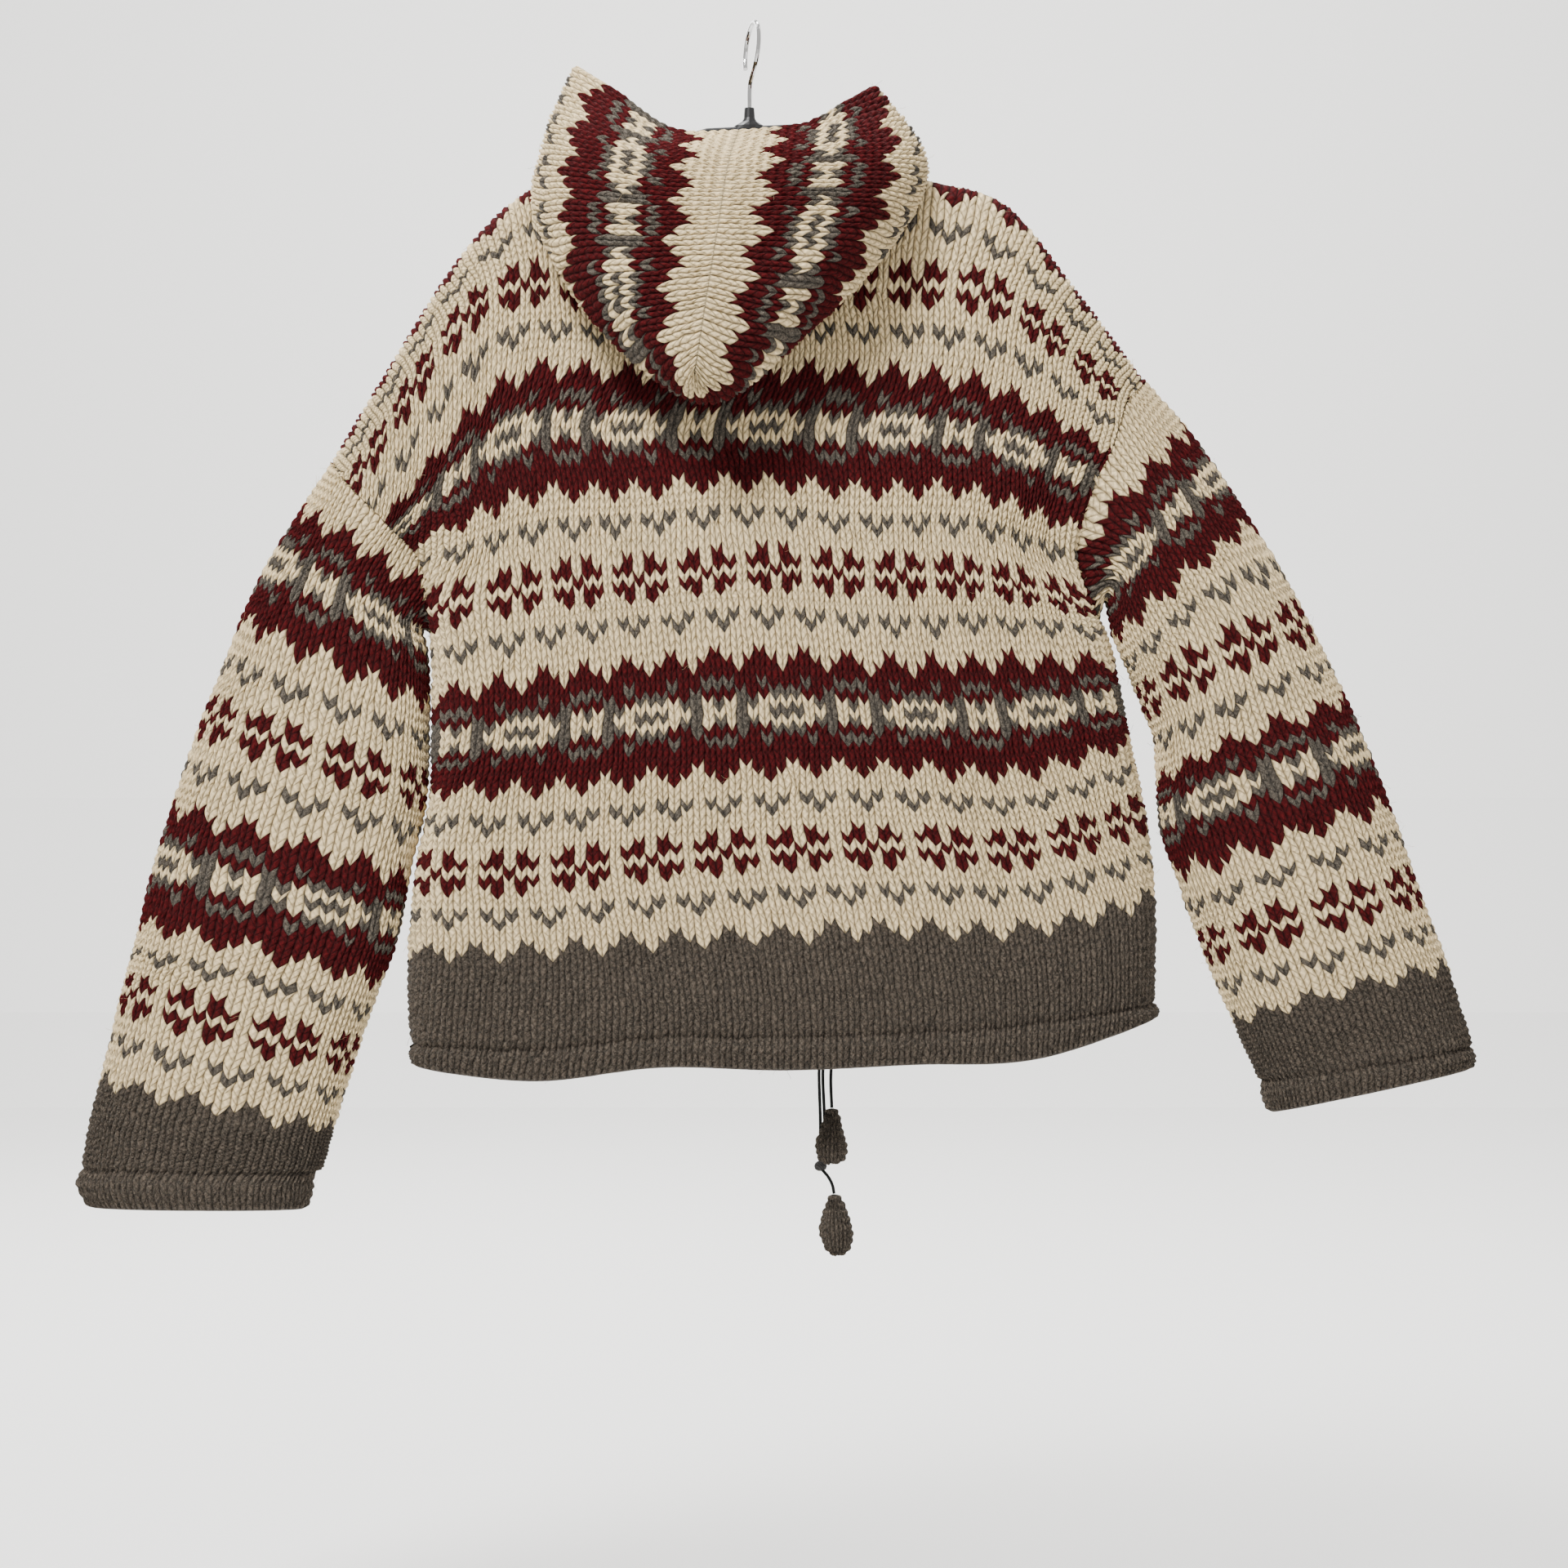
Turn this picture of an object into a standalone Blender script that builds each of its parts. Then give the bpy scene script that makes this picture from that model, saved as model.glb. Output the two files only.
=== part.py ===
"""Fair isle zip-up hoodie on a clothes hanger.

The garment hangs with its back towards -Y and its zip towards +Y. The origin is the inner
crown of the hanger's hook, where it rests on a rail. Lengths are in millimetres until a
mesh is made, and metres in the scene. The cloth is a set of true thin walls: a back and two
fronts that share one outline, two sleeves set on the armhole seams, and a hood that stands
on the neck seam and hangs down behind.
"""

import math

import bmesh
import bpy
import numpy as np

# ----- driving sizes, mm -----
WALL = 4.0            # chunky stockinette, one layer
HEM_WALL = 6.0        # turned hem and cuffs
SEAM = 0.15           # half of the gap at a seam
ARMHOLE_SEAM = 0.4    # half of the gap at the armholes
NECK_SEAM = 2.0       # gap under the hood
SIDE_ROUND = 30.0     # width of the roll at each side of the body
TOP_ROUND_ROWS = 3.0  # rows in the roll along the shoulders
ARMPIT_ROW = 50.5     # knit row of the armpit
TOP_ROW = 94.0        # knit row of the shoulder and neck
ARMHOLE_DEPTH = 21.0  # half depth of the armhole ring
NECK_DEPTH_BACK = 15.0
NECK_DEPTH_FRONT = 24.0
NECK_FLARE_ROWS = 9.0
NECK_DIP_ROWS = 10.0  # how far the front neck is cut below the back neck
NECK_X = (-112, 95)    # where the neck starts and ends along the top row
ZIP_SLOT = 6.5        # from the zip's middle to each front edge
ZIP_S = (0.548, 0.52)  # place of the zip across the front at the hem and at the neck

# Body rows, from the hem up. Each: knit row, x at the left end, x at the right end,
# z at even steps from left to right, half depth of the body.
BODY_ROWS = [
    (-4.0, -251, 299, (-774, -783, -773, -775, -771, -767, -738), 27),
    (0.0, -254, 298, (-757, -760, -751, -751, -748, -741, -727), 29),
    (12.0, -256, 298, (-689, -688, -680, -675, -671, -671, -648), 28),
    (21.5, -251, 291, (-631, -630, -620, -613, -610, -612, -586), 29),
    (31.0, -240, 280, (-571, -568, -560, -554, -553, -557, -534), 30),
    (37.5, -239, 274, (-536, -526, -516, -511, -514, -514, -503), 31),
    (47.5, -239, 262, (-470, -455, -445, -439, -446, -445, -453), 31),
    (52.5, -241, 252, (-437, -421, -414, -407, -411, -415, -434), 30),
    (58.5, -245, 239, (-402, -378, -371, -364, -371, -373, -397), 28),
    (62.0, -252, 241, (-391, -355, -349, -343, -348, -350, -378), 27),
    (68.5, -264, 253, (-380, -307, -303, -302, -304, -310, -341), 25),
    (74.0, -272, 264, (-371, -269, -261, -260, -261, -272, -319), 22),
    (83.5, -298, 276, (-345, -210, -197, -195, -196, -206, -283), 18),
    (94.0, -313, 291, (-326, -243, -166, -120, -110, -121, -128, -122, -111, -118, -136, -199,
                       -266), 13),
]

# Soft folds of the body cloth: from (x, z) to (x, z), width, height outwards, back or front.
BODY_FOLDS = [
    (162, -345, 170, -470, 20, 5.0, -1),
    (196, -382, 262, -440, 18, -4.0, -1),
    (-236, -470, -190, -395, 24, 4.0, -1),
    (-120, -560, -110, -720, 40, 3.0, -1),
    (70, -600, 84, -740, 45, 3.5, -1),
    (-150, -420, -165, -700, 40, 4.0, 1),
    (170, -430, 190, -700, 40, 4.0, 1),
]

# Sleeve sections from the armhole down: outer edge x, z, inner edge x, z, half depth.
SLEEVE_LEFT = [
    (-344, -374, -247, -451, 22),
    (-362, -403, -243, -470, 24),
    (-378, -437, -242, -498, 25),
    (-394, -479, -242.5, -531, 25),
    (-409, -515, -243, -560, 25),
    (-424, -558, -246, -588, 25),
    (-438, -601, -254, -620, 24),
    (-448, -635, -260, -652, 24),
    (-457, -675, -266, -680, 24),
    (-468, -715, -281, -722, 24),
    (-477, -752, -291, -750, 24),
    (-486, -789, -302, -785, 24),
    (-494, -822, -313, -820, 23),
    (-498, -846, -321, -848, 22),
    (-500, -860, -330, -860, 24),
    (-493, -879, -334, -880, 20),
]
SLEEVE_RIGHT = [
    (318, -296, 262, -428, 22),
    (335, -318, 269, -456, 24),
    (354, -346, 280, -482, 25),
    (374, -377, 290, -508, 25),
    (393, -408, 299, -532, 25),
    (412, -444, 301, -565, 25),
    (430, -480, 303.5, -598, 25),
    (447, -516, 315, -632, 24),
    (462, -553, 325, -661, 24),
    (477, -592, 336, -690, 24),
    (490, -630, 348, -720, 24),
    (503, -666, 358, -741, 24),
    (515, -698, 367, -762, 23),
    (525, -731, 375, -779, 22),
    (533, -757, 381, -792, 24),
    (533, -776, 385, -808, 20),
]

# Hood courses from the neck seam to the crown seam. Each: share of the way from seam to
# crown, then (x, y, z) at nine stations: left rim, left side, low point, right side, right rim.
HOOD_COURSES = [
    (0.30, ((-60, 19, -116), (-118, 10, -93), (-149, -20, -117), (-101, -40, -185),
            (-24, -45, -222), (51, -40, -180), (118, -20, -112), (96, 10, -91), (42, 19, -116))),
    (0.50, ((-133, -6, -34), (-154, -18, -88), (-157, -40, -155), (-108, -56, -238),
            (-30, -60, -287), (48, -56, -230), (105, -40, -165), (128, -18, -105), (92, -6, -48))),
    (0.65, ((-104, -24, -51), (-128, -54, -98), (-127, -74, -160), (-90, -80, -230),
            (-34, -78, -285), (25, -80, -231), (80, -74, -165), (102, -54, -110), (70, -24, -60))),
    (0.85, ((-54, -42, -81), (-68, -74, -112), (-71, -90, -165), (-62, -93, -226),
            (-39, -88, -279), (-9, -93, -228), (20, -90, -165), (35, -74, -114), (36, -42, -74))),
    (1.00, ((-10, -50, -80), (-17, -78, -114), (-24, -94, -165), (-33, -97, -221),
            (-41, -92, -271), (-33, -97, -221), (-24, -94, -165), (-17, -78, -114), (-10, -50, -80))),
]

# Hanger
HUB_X = -3.0
ARM_HIGH = 8.0
ARM_DEEP = 7.0
# Places along the bar: x, z of its top, share of the full section.
ARM_LINE = [
    (-200, -166, 0.55), (-196, -162, 0.85), (-188, -157, 1), (-172, -146, 1), (-140, -133, 1),
    (-112, -125, 1), (-98, -119, 1), (-80, -104, 1), (-58, -84, 1), (-35, -77, 1), (-3, -75.5, 1),
    (30, -74, 1), (46, -77, 1), (59, -91, 1), (72, -112, 1), (84, -128, 1), (100, -131, 1),
    (130, -133, 1),
    (160, -139, 1), (182, -149, 1),
    (191, -156, 0.85), (195, -159, 0.55),
]
WIRE_R = 1.75
HOOK_R = 18.0         # inner radius of the hook
HOOK_TURN = math.radians(15.0)

# Cord ends and tassels
CORD_R = 1.2
HEM_EXIT_Z = -776.0
CORD_LEFT = [(49.6, 26.0, HEM_EXIT_Z), (49.2, 27.0, -786), (50.2, 33.5, -817), (50.4, 36.5, -838),
             (50.0, 34.5, -849.5)]
CORD_LEFT_SECOND = [(52.3, 27.5, HEM_EXIT_Z - 0.2), (52.2, 29.8, -790), (53.4, 36.0, -817),
                    (53.4, 38.9, -838), (51.6, 36.7, -849.2)]
CORD_RIGHT = [(58.4, 25.0, HEM_EXIT_Z + 0.1), (58.0, 24.6, -790), (58.8, 24.2, -808.6)]
CORD_LOWER = [(52.3, 32.0, -857.3), (56.0, 29.2, -861), (59.2, 27.3, -867), (60.5, 26.5, -873.6)]
KNOT = (50.4, 34.3, -853.6)

# Zip
CHAIN_HALF = 2.5
CHAIN_THICK = 3.0
TAPE_WIDE = 14.0
TAPE_THICK = 1.0
SLIDER_ROW = 80.5
PULL_LONG = 27.0

WOOL = (0.72, 0.64, 0.50, 1)
HEM_GREY = (0.14, 0.125, 0.11, 1)
BLACK = (0.012, 0.012, 0.013, 1)


def clear_scene():
    for old in list(bpy.data.objects):
        bpy.data.objects.remove(old, do_unlink=True)


def material(name, colour, rough, metal=0.0):
    made = bpy.data.materials.new(name)
    made.use_nodes = True
    shader = made.node_tree.nodes["Principled BSDF"]
    shader.inputs["Base Color"].default_value = colour
    shader.inputs["Roughness"].default_value = rough
    shader.inputs["Metallic"].default_value = metal
    made.diffuse_color = colour
    return made


def smooth(knots, values, at):
    """Smooth curve through values (first axis) at knots, read at the places in at."""
    k = np.asarray(knots, float)
    v = np.asarray(values, float)
    at = np.atleast_1d(np.asarray(at, float))
    step = np.diff(k)
    slope = np.diff(v, axis=0) / step.reshape((-1,) + (1,) * (v.ndim - 1))
    tangent = np.empty_like(v)
    tangent[0] = slope[0]
    tangent[-1] = slope[-1]
    before = step[:-1].reshape((-1,) + (1,) * (v.ndim - 1))
    after = step[1:].reshape((-1,) + (1,) * (v.ndim - 1))
    tangent[1:-1] = (slope[:-1] * after + slope[1:] * before) / (before + after)
    i = np.clip(np.searchsorted(k, at, side="right") - 1, 0, len(k) - 2)
    h = step[i]
    t = (at - k[i]) / h
    shape = (-1,) + (1,) * (v.ndim - 1)
    t, h = t.reshape(shape), h.reshape(shape)
    h00 = 2 * t**3 - 3 * t**2 + 1
    h10 = t**3 - 2 * t**2 + t
    h01 = -2 * t**3 + 3 * t**2
    h11 = t**3 - t**2
    return h00 * v[i] + h10 * h * tangent[i] + h01 * v[i + 1] + h11 * h * tangent[i + 1]


def row_curves(samples=129):
    """Each body row as points evenly spaced along its length: (rows, samples, 2)."""
    curves = []
    for row, left, right, heights, depth in BODY_ROWS:
        xs = np.linspace(left, right, 385)
        zs = smooth(np.linspace(left, right, len(heights)), heights, xs)
        length = np.concatenate([[0], np.cumsum(np.hypot(np.diff(xs), np.diff(zs)))])
        even = np.linspace(0, length[-1], samples)
        curves.append(np.stack([np.interp(even, length, xs), np.interp(even, length, zs)], 1))
    return np.array(curves)


ROW_NUMBERS = [r[0] for r in BODY_ROWS]
ROW_DEPTHS = [r[4] for r in BODY_ROWS]
CURVES = row_curves()


TOP_SHARES = np.linspace(0, 1, CURVES.shape[1])
NECK_S = tuple(float(v) for v in np.interp(NECK_X, CURVES[-1, :, 0], TOP_SHARES))


def plan(s, row):
    """x, z of the body's outline plane at share s across and a knit row; arrays of one shape."""
    s, row = np.broadcast_arrays(np.asarray(s, float), np.asarray(row, float))
    flat_s, flat_r = s.ravel(), row.ravel()
    at = np.clip(flat_s, 0, 1) * (CURVES.shape[1] - 1)
    i = np.clip(at.astype(int), 0, CURVES.shape[1] - 2)
    f = (at - i)[:, None]
    columns = CURVES[:, i] * (1 - f) + CURVES[:, i + 1] * f
    out = np.empty((len(flat_s), 2))
    for n in range(len(flat_s)):
        out[n] = smooth(ROW_NUMBERS, columns[:, n], flat_r[n])[0]
    return out.reshape(s.shape + (2,))


def folds(x, z, side):
    """Outward height of the soft folds at x, z."""
    total = np.zeros_like(x)
    for x0, z0, x1, z1, width, height, on in BODY_FOLDS:
        if on != side:
            continue
        dx, dz = x1 - x0, z1 - z0
        t = np.clip(((x - x0) * dx + (z - z0) * dz) / (dx * dx + dz * dz), 0, 1)
        away = np.hypot(x - x0 - t * dx, z - z0 - t * dz)
        total += height * np.exp(-((away / width) ** 2)) * np.sin(np.pi * np.clip(t, 0.12, 0.88))
    return total


def armhole_angle(row):
    """0 at the armpit, pi at the shoulder tip."""
    a = np.clip((np.asarray(row, float) - ARMPIT_ROW) / (TOP_ROW - ARMPIT_ROW), 0, 1)
    return np.arccos(1 - 2 * a)


def neck_share(s):
    """0 outside the neck, rising to 1 at its middle."""
    u = (np.asarray(s, float) - NECK_S[0]) / (NECK_S[1] - NECK_S[0])
    return np.where((u > 0) & (u < 1), np.abs(np.sin(np.pi * np.clip(u, 0, 1))) ** 1.5, 0.0)


def front_row(s, row):
    """Knit row on the front, squeezed towards the lower front neck."""
    top = TOP_ROW - NECK_DIP_ROWS * neck_share(s)
    return np.where(row > 62, 62 + (row - 62) * (top - 62) / (TOP_ROW - 62), row)


def body_surface(s, side_sine, row, side):
    """Outer surface of the back (side -1) or front (side 1): (..., 3) in mm."""
    s, row, side_sine = np.broadcast_arrays(s, row, side_sine)
    lifted = front_row(s, row) if side > 0 else row
    xz = plan(s, lifted)
    away = np.clip((TOP_ROW - row) / TOP_ROUND_ROWS, 0, 1)
    top_sine = np.sqrt(1 - (1 - away) ** 2)
    flare = np.clip((TOP_ROW - row) / NECK_FLARE_ROWS, 0, 1)
    top_sine = top_sine + (flare**2 * (3 - 2 * flare) - top_sine) * neck_share(s) ** 0.3
    depth = smooth(ROW_NUMBERS, ROW_DEPTHS, row.ravel()).reshape(row.shape)
    if side > 0:
        depth = depth * 0.95
    edge = ARMHOLE_DEPTH * np.sin(armhole_angle(row))
    neck = (NECK_DEPTH_BACK if side < 0 else NECK_DEPTH_FRONT) * neck_share(s) ** 0.26
    out = depth * side_sine * top_sine + edge * (1 - side_sine) + neck * (1 - top_sine)
    out = out + folds(xz[..., 0], xz[..., 1], side) * side_sine * top_sine
    return np.stack([xz[..., 0], side * (out + SEAM), xz[..., 1]], -1)


def seam_line(left):
    """The armhole seam as (points, lengths), from the armpit to the shoulder tip."""
    rows = np.linspace(ARMPIT_ROW, TOP_ROW, 61)
    pts = plan(np.full(61, 0.0 if left else 1.0), rows)
    length = np.concatenate([[0], np.cumsum(np.hypot(*np.diff(pts, axis=0).T))])
    return rows, pts, length


def armhole_ring(rows_at, left, inset, side):
    """Points of the armhole ring at the given knit rows. inset is the cloth's wall or 0."""
    rows, pts, length = seam_line(left)
    angle = armhole_angle(rows_at)
    at = np.interp(rows_at, rows, length)
    half = length[-1] / 2
    at = half + (at - half) * (half - inset) / half
    x = np.interp(at, length, pts[:, 0])
    z = np.interp(at, length, pts[:, 1])
    y = (ARMHOLE_DEPTH - inset) * np.sin(angle) * side
    return np.stack([x, y, z], 1)


def seam_inward(rows_at, left):
    """Unit vectors in the x-z plane, from the armhole seam towards the body."""
    rows, pts, length = seam_line(left)
    t = np.gradient(pts, axis=0)
    t /= np.linalg.norm(t, axis=1)[:, None]
    n = np.stack([t[:, 1], -t[:, 0]], 1) * (1 if left else -1)
    return np.stack([np.interp(rows_at, rows, n[:, 0]), np.zeros(len(rows_at)),
                     np.interp(rows_at, rows, n[:, 1])], 1)


def unit(v):
    return v / np.maximum(np.linalg.norm(v, axis=-1, keepdims=True), 1e-9)


def grid_normals(grid):
    du = np.gradient(grid, axis=1)
    dv = np.gradient(grid, axis=0)
    return unit(np.cross(du, dv))


def wall_solid(name, outer, inner, mat, wrap=False, weld=False):
    """One closed wall between two grids of points (rows, columns, 3), mm."""
    rows, cols = outer.shape[:2]
    verts = [tuple(p / 1000) for p in outer.reshape(-1, 3)]
    verts += [tuple(p / 1000) for p in inner.reshape(-1, 3)]
    base = rows * cols
    faces = []
    around = cols if wrap else cols - 1
    for j in range(rows - 1):
        for i in range(around):
            a, b = j * cols + i, j * cols + (i + 1) % cols
            c, d = (j + 1) * cols + (i + 1) % cols, (j + 1) * cols + i
            faces.append((a, b, c, d))
            faces.append((base + d, base + c, base + b, base + a))
    for j in (0, rows - 1):
        if weld and j == rows - 1:
            continue
        for i in range(around):
            a, b = j * cols + i, j * cols + (i + 1) % cols
            faces.append((b, a, base + a, base + b) if j == 0 else (a, b, base + b, base + a))
    if not wrap:
        for i in (0, cols - 1):
            for j in range(rows - 1):
                a, b = j * cols + i, (j + 1) * cols + i
                faces.append((a, b, base + b, base + a) if i == 0 else (b, a, base + a, base + b))
    return mesh_object(name, verts, faces, mat, weld)


def mesh_object(name, verts, faces, mat, weld=False):
    mesh = bpy.data.meshes.new(name)
    mesh.from_pydata(verts, [], faces)
    bm = bmesh.new()
    bm.from_mesh(mesh)
    if weld:
        bmesh.ops.remove_doubles(bm, verts=bm.verts, dist=0.00001)
    bmesh.ops.recalc_face_normals(bm, faces=bm.faces)
    bm.to_mesh(mesh)
    bm.free()
    mesh.shade_smooth()
    made = bpy.data.objects.new(name, mesh)
    bpy.context.scene.collection.objects.link(made)
    mesh.materials.append(mat)
    return made


def body_rows():
    """The rows where the body's walls have points: even below the armpit, ring steps above."""
    low = [-4.0, -2.0, 0.0, 4.0, 8.0, 12.0, 16.5, 21.5, 26.0, 31.0, 35.0, 39.0, 43.0, 47.0]
    angles = np.linspace(0, math.pi, ARM_STEPS + 1)
    high = ARMPIT_ROW + (TOP_ROW - ARMPIT_ROW) * (1 - np.cos(angles)) / 2
    return np.array(low + list(high))


ARM_STEPS = 14
ROWS = body_rows()
PIT = list(ROWS).index(ARMPIT_ROW)
ROLL = SIDE_ROUND / 520.0
ROLL_ANGLES = np.radians([0, 18, 36, 54, 72])
LEFT_ROLL = [(ROLL * (1 - math.cos(a)), math.sin(a)) for a in ROLL_ANGLES]
RIGHT_ROLL = [(1 - s, sine) for s, sine in reversed(LEFT_ROLL)]
BACK_INNER_S = list(np.linspace(ROLL, NECK_S[0], 8)) + list(np.linspace(*NECK_S, 9)[1:-1])
BACK_INNER_S += list(np.linspace(NECK_S[1], 1 - ROLL, 7))
FRONT_SHARES = [0.0, 0.11, 0.225, 0.35, 0.47, 0.59]  # from the roll to the neck's end
NECK_SHARES = [0.0, 0.25, 0.5, 0.75, 1.0]            # from the neck's end to the zip


def wall_thickness(row):
    return np.interp(row, [-4.0, -0.5, 1.5], [HEM_WALL, HEM_WALL, WALL])


def panel(name, side, s_grid, sine_grid, free_left, free_right, mat):
    """A body panel from its grids of shares. free_left/right: a plain cut edge, not a side."""
    row_grid = np.broadcast_to(ROWS[:, None], s_grid.shape)
    outer = body_surface(s_grid, sine_grid, row_grid, side)
    normal = grid_normals(outer) * (1 if side < 0 else -1)
    along = unit(np.gradient(outer, axis=0))
    across = unit(np.gradient(outer[-1], axis=0))
    thick = wall_thickness(row_grid)[..., None]
    for column, is_free, left in ((0, free_left, True), (-1, free_right, False)):
        if is_free:
            continue
        edge = np.stack([-along[:, column, 2], np.zeros(len(ROWS)), along[:, column, 0]], 1)
        edge[:, 0], edge[:, 2] = -along[:, column, 2], along[:, column, 0]
        normal[:PIT + 1, column] = (unit(edge) * (1 if left else -1))[:PIT + 1]
    shoulder = (s_grid[-1] < NECK_S[0] + 1e-6) | (s_grid[-1] > NECK_S[1] - 1e-6)
    up = np.stack([-across[:, 2], np.zeros(len(across)), across[:, 0]], 1)
    up = unit(np.where(up[:, 2:3] < 0, -up, up))
    normal[-1][shoulder] = up[shoulder]
    for share, away in ((NECK_S[0], -1), (NECK_S[1], 1)):
        ends = np.abs(s_grid[-1] - share) < 1e-6
        normal[-1][ends] = unit(up[ends] + np.array([away, 0, 0]))
    inner = outer - normal * thick
    for column, is_free, left in ((0, free_left, True), (-1, free_right, False)):
        if is_free:
            continue
        pit = inner[PIT, column].copy()
        rows_at = ROWS[PIT:]
        shift = seam_inward(rows_at, left) * ARMHOLE_SEAM
        ring_out = armhole_ring(rows_at, left, 0.0, side)
        ring_in = armhole_ring(rows_at, left, WALL, side)
        for ring in (ring_out, ring_in):
            ring += shift
            ring[:, 1] += side * SEAM
        outer[PIT:, column] = ring_out
        inner[PIT + 1:, column] = ring_in[1:]
        inner[PIT, column] = pit + np.array([0, 0, WALL])
    return outer, inner, wall_solid(name, outer, inner, mat)


def build_body(wool):
    rows = len(ROWS)
    cols = LEFT_ROLL + [(s, 1.0) for s in BACK_INNER_S] + RIGHT_ROLL
    s = np.tile([c[0] for c in cols], (rows, 1))
    sine = np.tile([c[1] for c in cols], (rows, 1))
    back = panel("back_panel", -1, s, sine, False, False, wool)
    width = np.interp(ROWS, [-4, 94], [556, 560])
    zip_s = np.interp(ROWS, [0, TOP_ROW], ZIP_S)
    fronts = []
    for left in (True, False):
        grid_s, grid_sine = [], []
        for j in range(rows):
            gap = ZIP_SLOT / width[j]
            start = ROLL
            neck = NECK_S[0] if left else 1 - NECK_S[1]
            stop = (zip_s[j] if left else 1 - zip_s[j]) - gap
            inner = [start + (neck - start) * f / 0.7 for f in FRONT_SHARES]
            inner += [neck + (stop - neck) * f for f in NECK_SHARES]
            line = [c[0] for c in LEFT_ROLL] + inner
            sines = [c[1] for c in LEFT_ROLL] + [1.0] * len(inner)
            if not left:
                line = [1 - v for v in reversed(line)]
                sines = sines[::-1]
            grid_s.append(line)
            grid_sine.append(sines)
        name = "front_panel_left" if left else "front_panel_right"
        fronts.append(panel(name, 1, np.array(grid_s), np.array(grid_sine), not left, left, wool))
    return back, fronts[0], fronts[1]


def build_sleeve(name, left, sections, wool):
    """A flattened tube from the armhole ring to the cuff."""
    rows_at = ROWS[PIT:]
    out = seam_inward(rows_at, left) * -ARMHOLE_SEAM
    rings_out, rings_in = [], []

    def full_ring(inset):
        back = armhole_ring(rows_at, left, inset, -1) + out
        front = armhole_ring(rows_at, left, inset, 1) + out
        return np.concatenate([back, front[-2:0:-1]])

    rings_out.append(full_ring(0.0))
    rings_in.append(full_ring(WALL))
    count = 2 * ARM_STEPS
    angle = np.arange(count) * 2 * math.pi / count
    last = len(sections) - 1
    for n, (ox, oz, ix, iz, half_depth) in enumerate(sections):
        wall = HEM_WALL if n >= last - 1 else WALL
        mid = np.array([(ox + ix) / 2, 0, (oz + iz) / 2])
        arm = np.array([ox - ix, 0, oz - iz]) / 2
        half = np.linalg.norm(arm)
        arm = arm / half
        wave = 2.2 * math.sin(2.1 * n + (0.6 if left else 2.0)) * (1 if 1 < n < last - 2 else 0)
        for inset, rings in ((0.0, rings_out), (wall, rings_in)):
            across = -np.cos(angle) * (half - inset)
            flat = np.sign(np.sin(angle)) * np.abs(np.sin(angle)) ** 0.8
            y = -flat * (half_depth - inset) - wave * np.sin(angle) ** 2 * np.cos(angle)
            ring = mid + across[:, None] * arm
            ring[:, 1] = y
            rings.append(ring)
    return wall_solid(name, np.array(rings_out), np.array(rings_in), wool, wrap=True)


def split_chords(points):
    """The points with the middle of each chord added between them."""
    mids = (points[1:] + points[:-1]) / 2
    both = np.empty((len(points) * 2 - 1, 3))
    both[0::2], both[1::2] = points, mids
    return both


def build_hood(back, left, right, wool):
    """The hood, from the neck seam through the folded-down pouch to the crown seam."""
    inner_s = [c[0] for c in LEFT_ROLL] + BACK_INNER_S
    a, b = inner_s.index(NECK_S[0]), inner_s.index(NECK_S[1])
    rings = []
    for layer in (0, 1):
        lift = np.array([0, 0, NECK_SEAM])
        back_edge = back[layer][-1, a:b + 1]
        left_edge = left[layer][-1, -len(NECK_SHARES):][::-1]
        right_edge = right[layer][-1, :len(NECK_SHARES)]
        joined = np.concatenate([left_edge[:-1], [(left_edge[-1] + back_edge[0]) / 2],
                                 back_edge[1:-1], [(right_edge[-1] + back_edge[-1]) / 2],
                                 right_edge[:-1][::-1]])
        rings.append(split_chords(joined) + lift)
    ring_out, ring_in = rings
    count = len(ring_out)
    t = np.linspace(-1, 1, count)
    stations = np.linspace(-1, 1, 9)
    outward = ring_out - np.array([-18.0, 2.0, 0.0])
    outward[:, 2] = 0
    collar = ring_out + unit(outward) * 2.2 + np.array([0, 0, 10.5])
    rise = ring_out + unit(outward) * 0.5 + np.array([0, 0, 5.0])
    courses = [(0.0, ring_out), (0.04, rise), (0.09, collar)]
    courses += [(v, smooth(stations, points, t)) for v, points in HOOD_COURSES]
    shares = np.array([0, 0.04, 0.09, 0.15, 0.22, 0.3, 0.38, 0.45, 0.5, 0.56, 0.63, 0.72, 0.82,
                       0.92, 1.0])
    outer = smooth([c[0] for c in courses], np.array([c[1] for c in courses]), shares)
    normal = -unit(np.cross(np.gradient(outer, axis=0), np.gradient(outer, axis=1)))
    for _ in range(2):
        padded = np.pad(normal, ((1, 1), (1, 1), (0, 0)), mode="edge")
        normal = unit(normal + padded[:-2, 1:-1] + padded[2:, 1:-1] + padded[1:-1, :-2]
                      + padded[1:-1, 2:])
    normal[-1] = unit(normal[-1] + normal[-1][::-1])
    inner = outer - normal * WALL
    inner[0] = ring_in
    inner[1] = ring_in + outer[1] - outer[0]
    wall_solid("hood", outer, inner, wool, weld=True)


def zip_line():
    rows = ROWS[:-1][ROWS[:-1] >= -4]
    rows = np.concatenate([rows, [93.6]])
    s = np.interp(rows, [0, TOP_ROW], ZIP_S)
    return rows, body_surface(s, np.ones(len(rows)), rows, 1)


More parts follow.
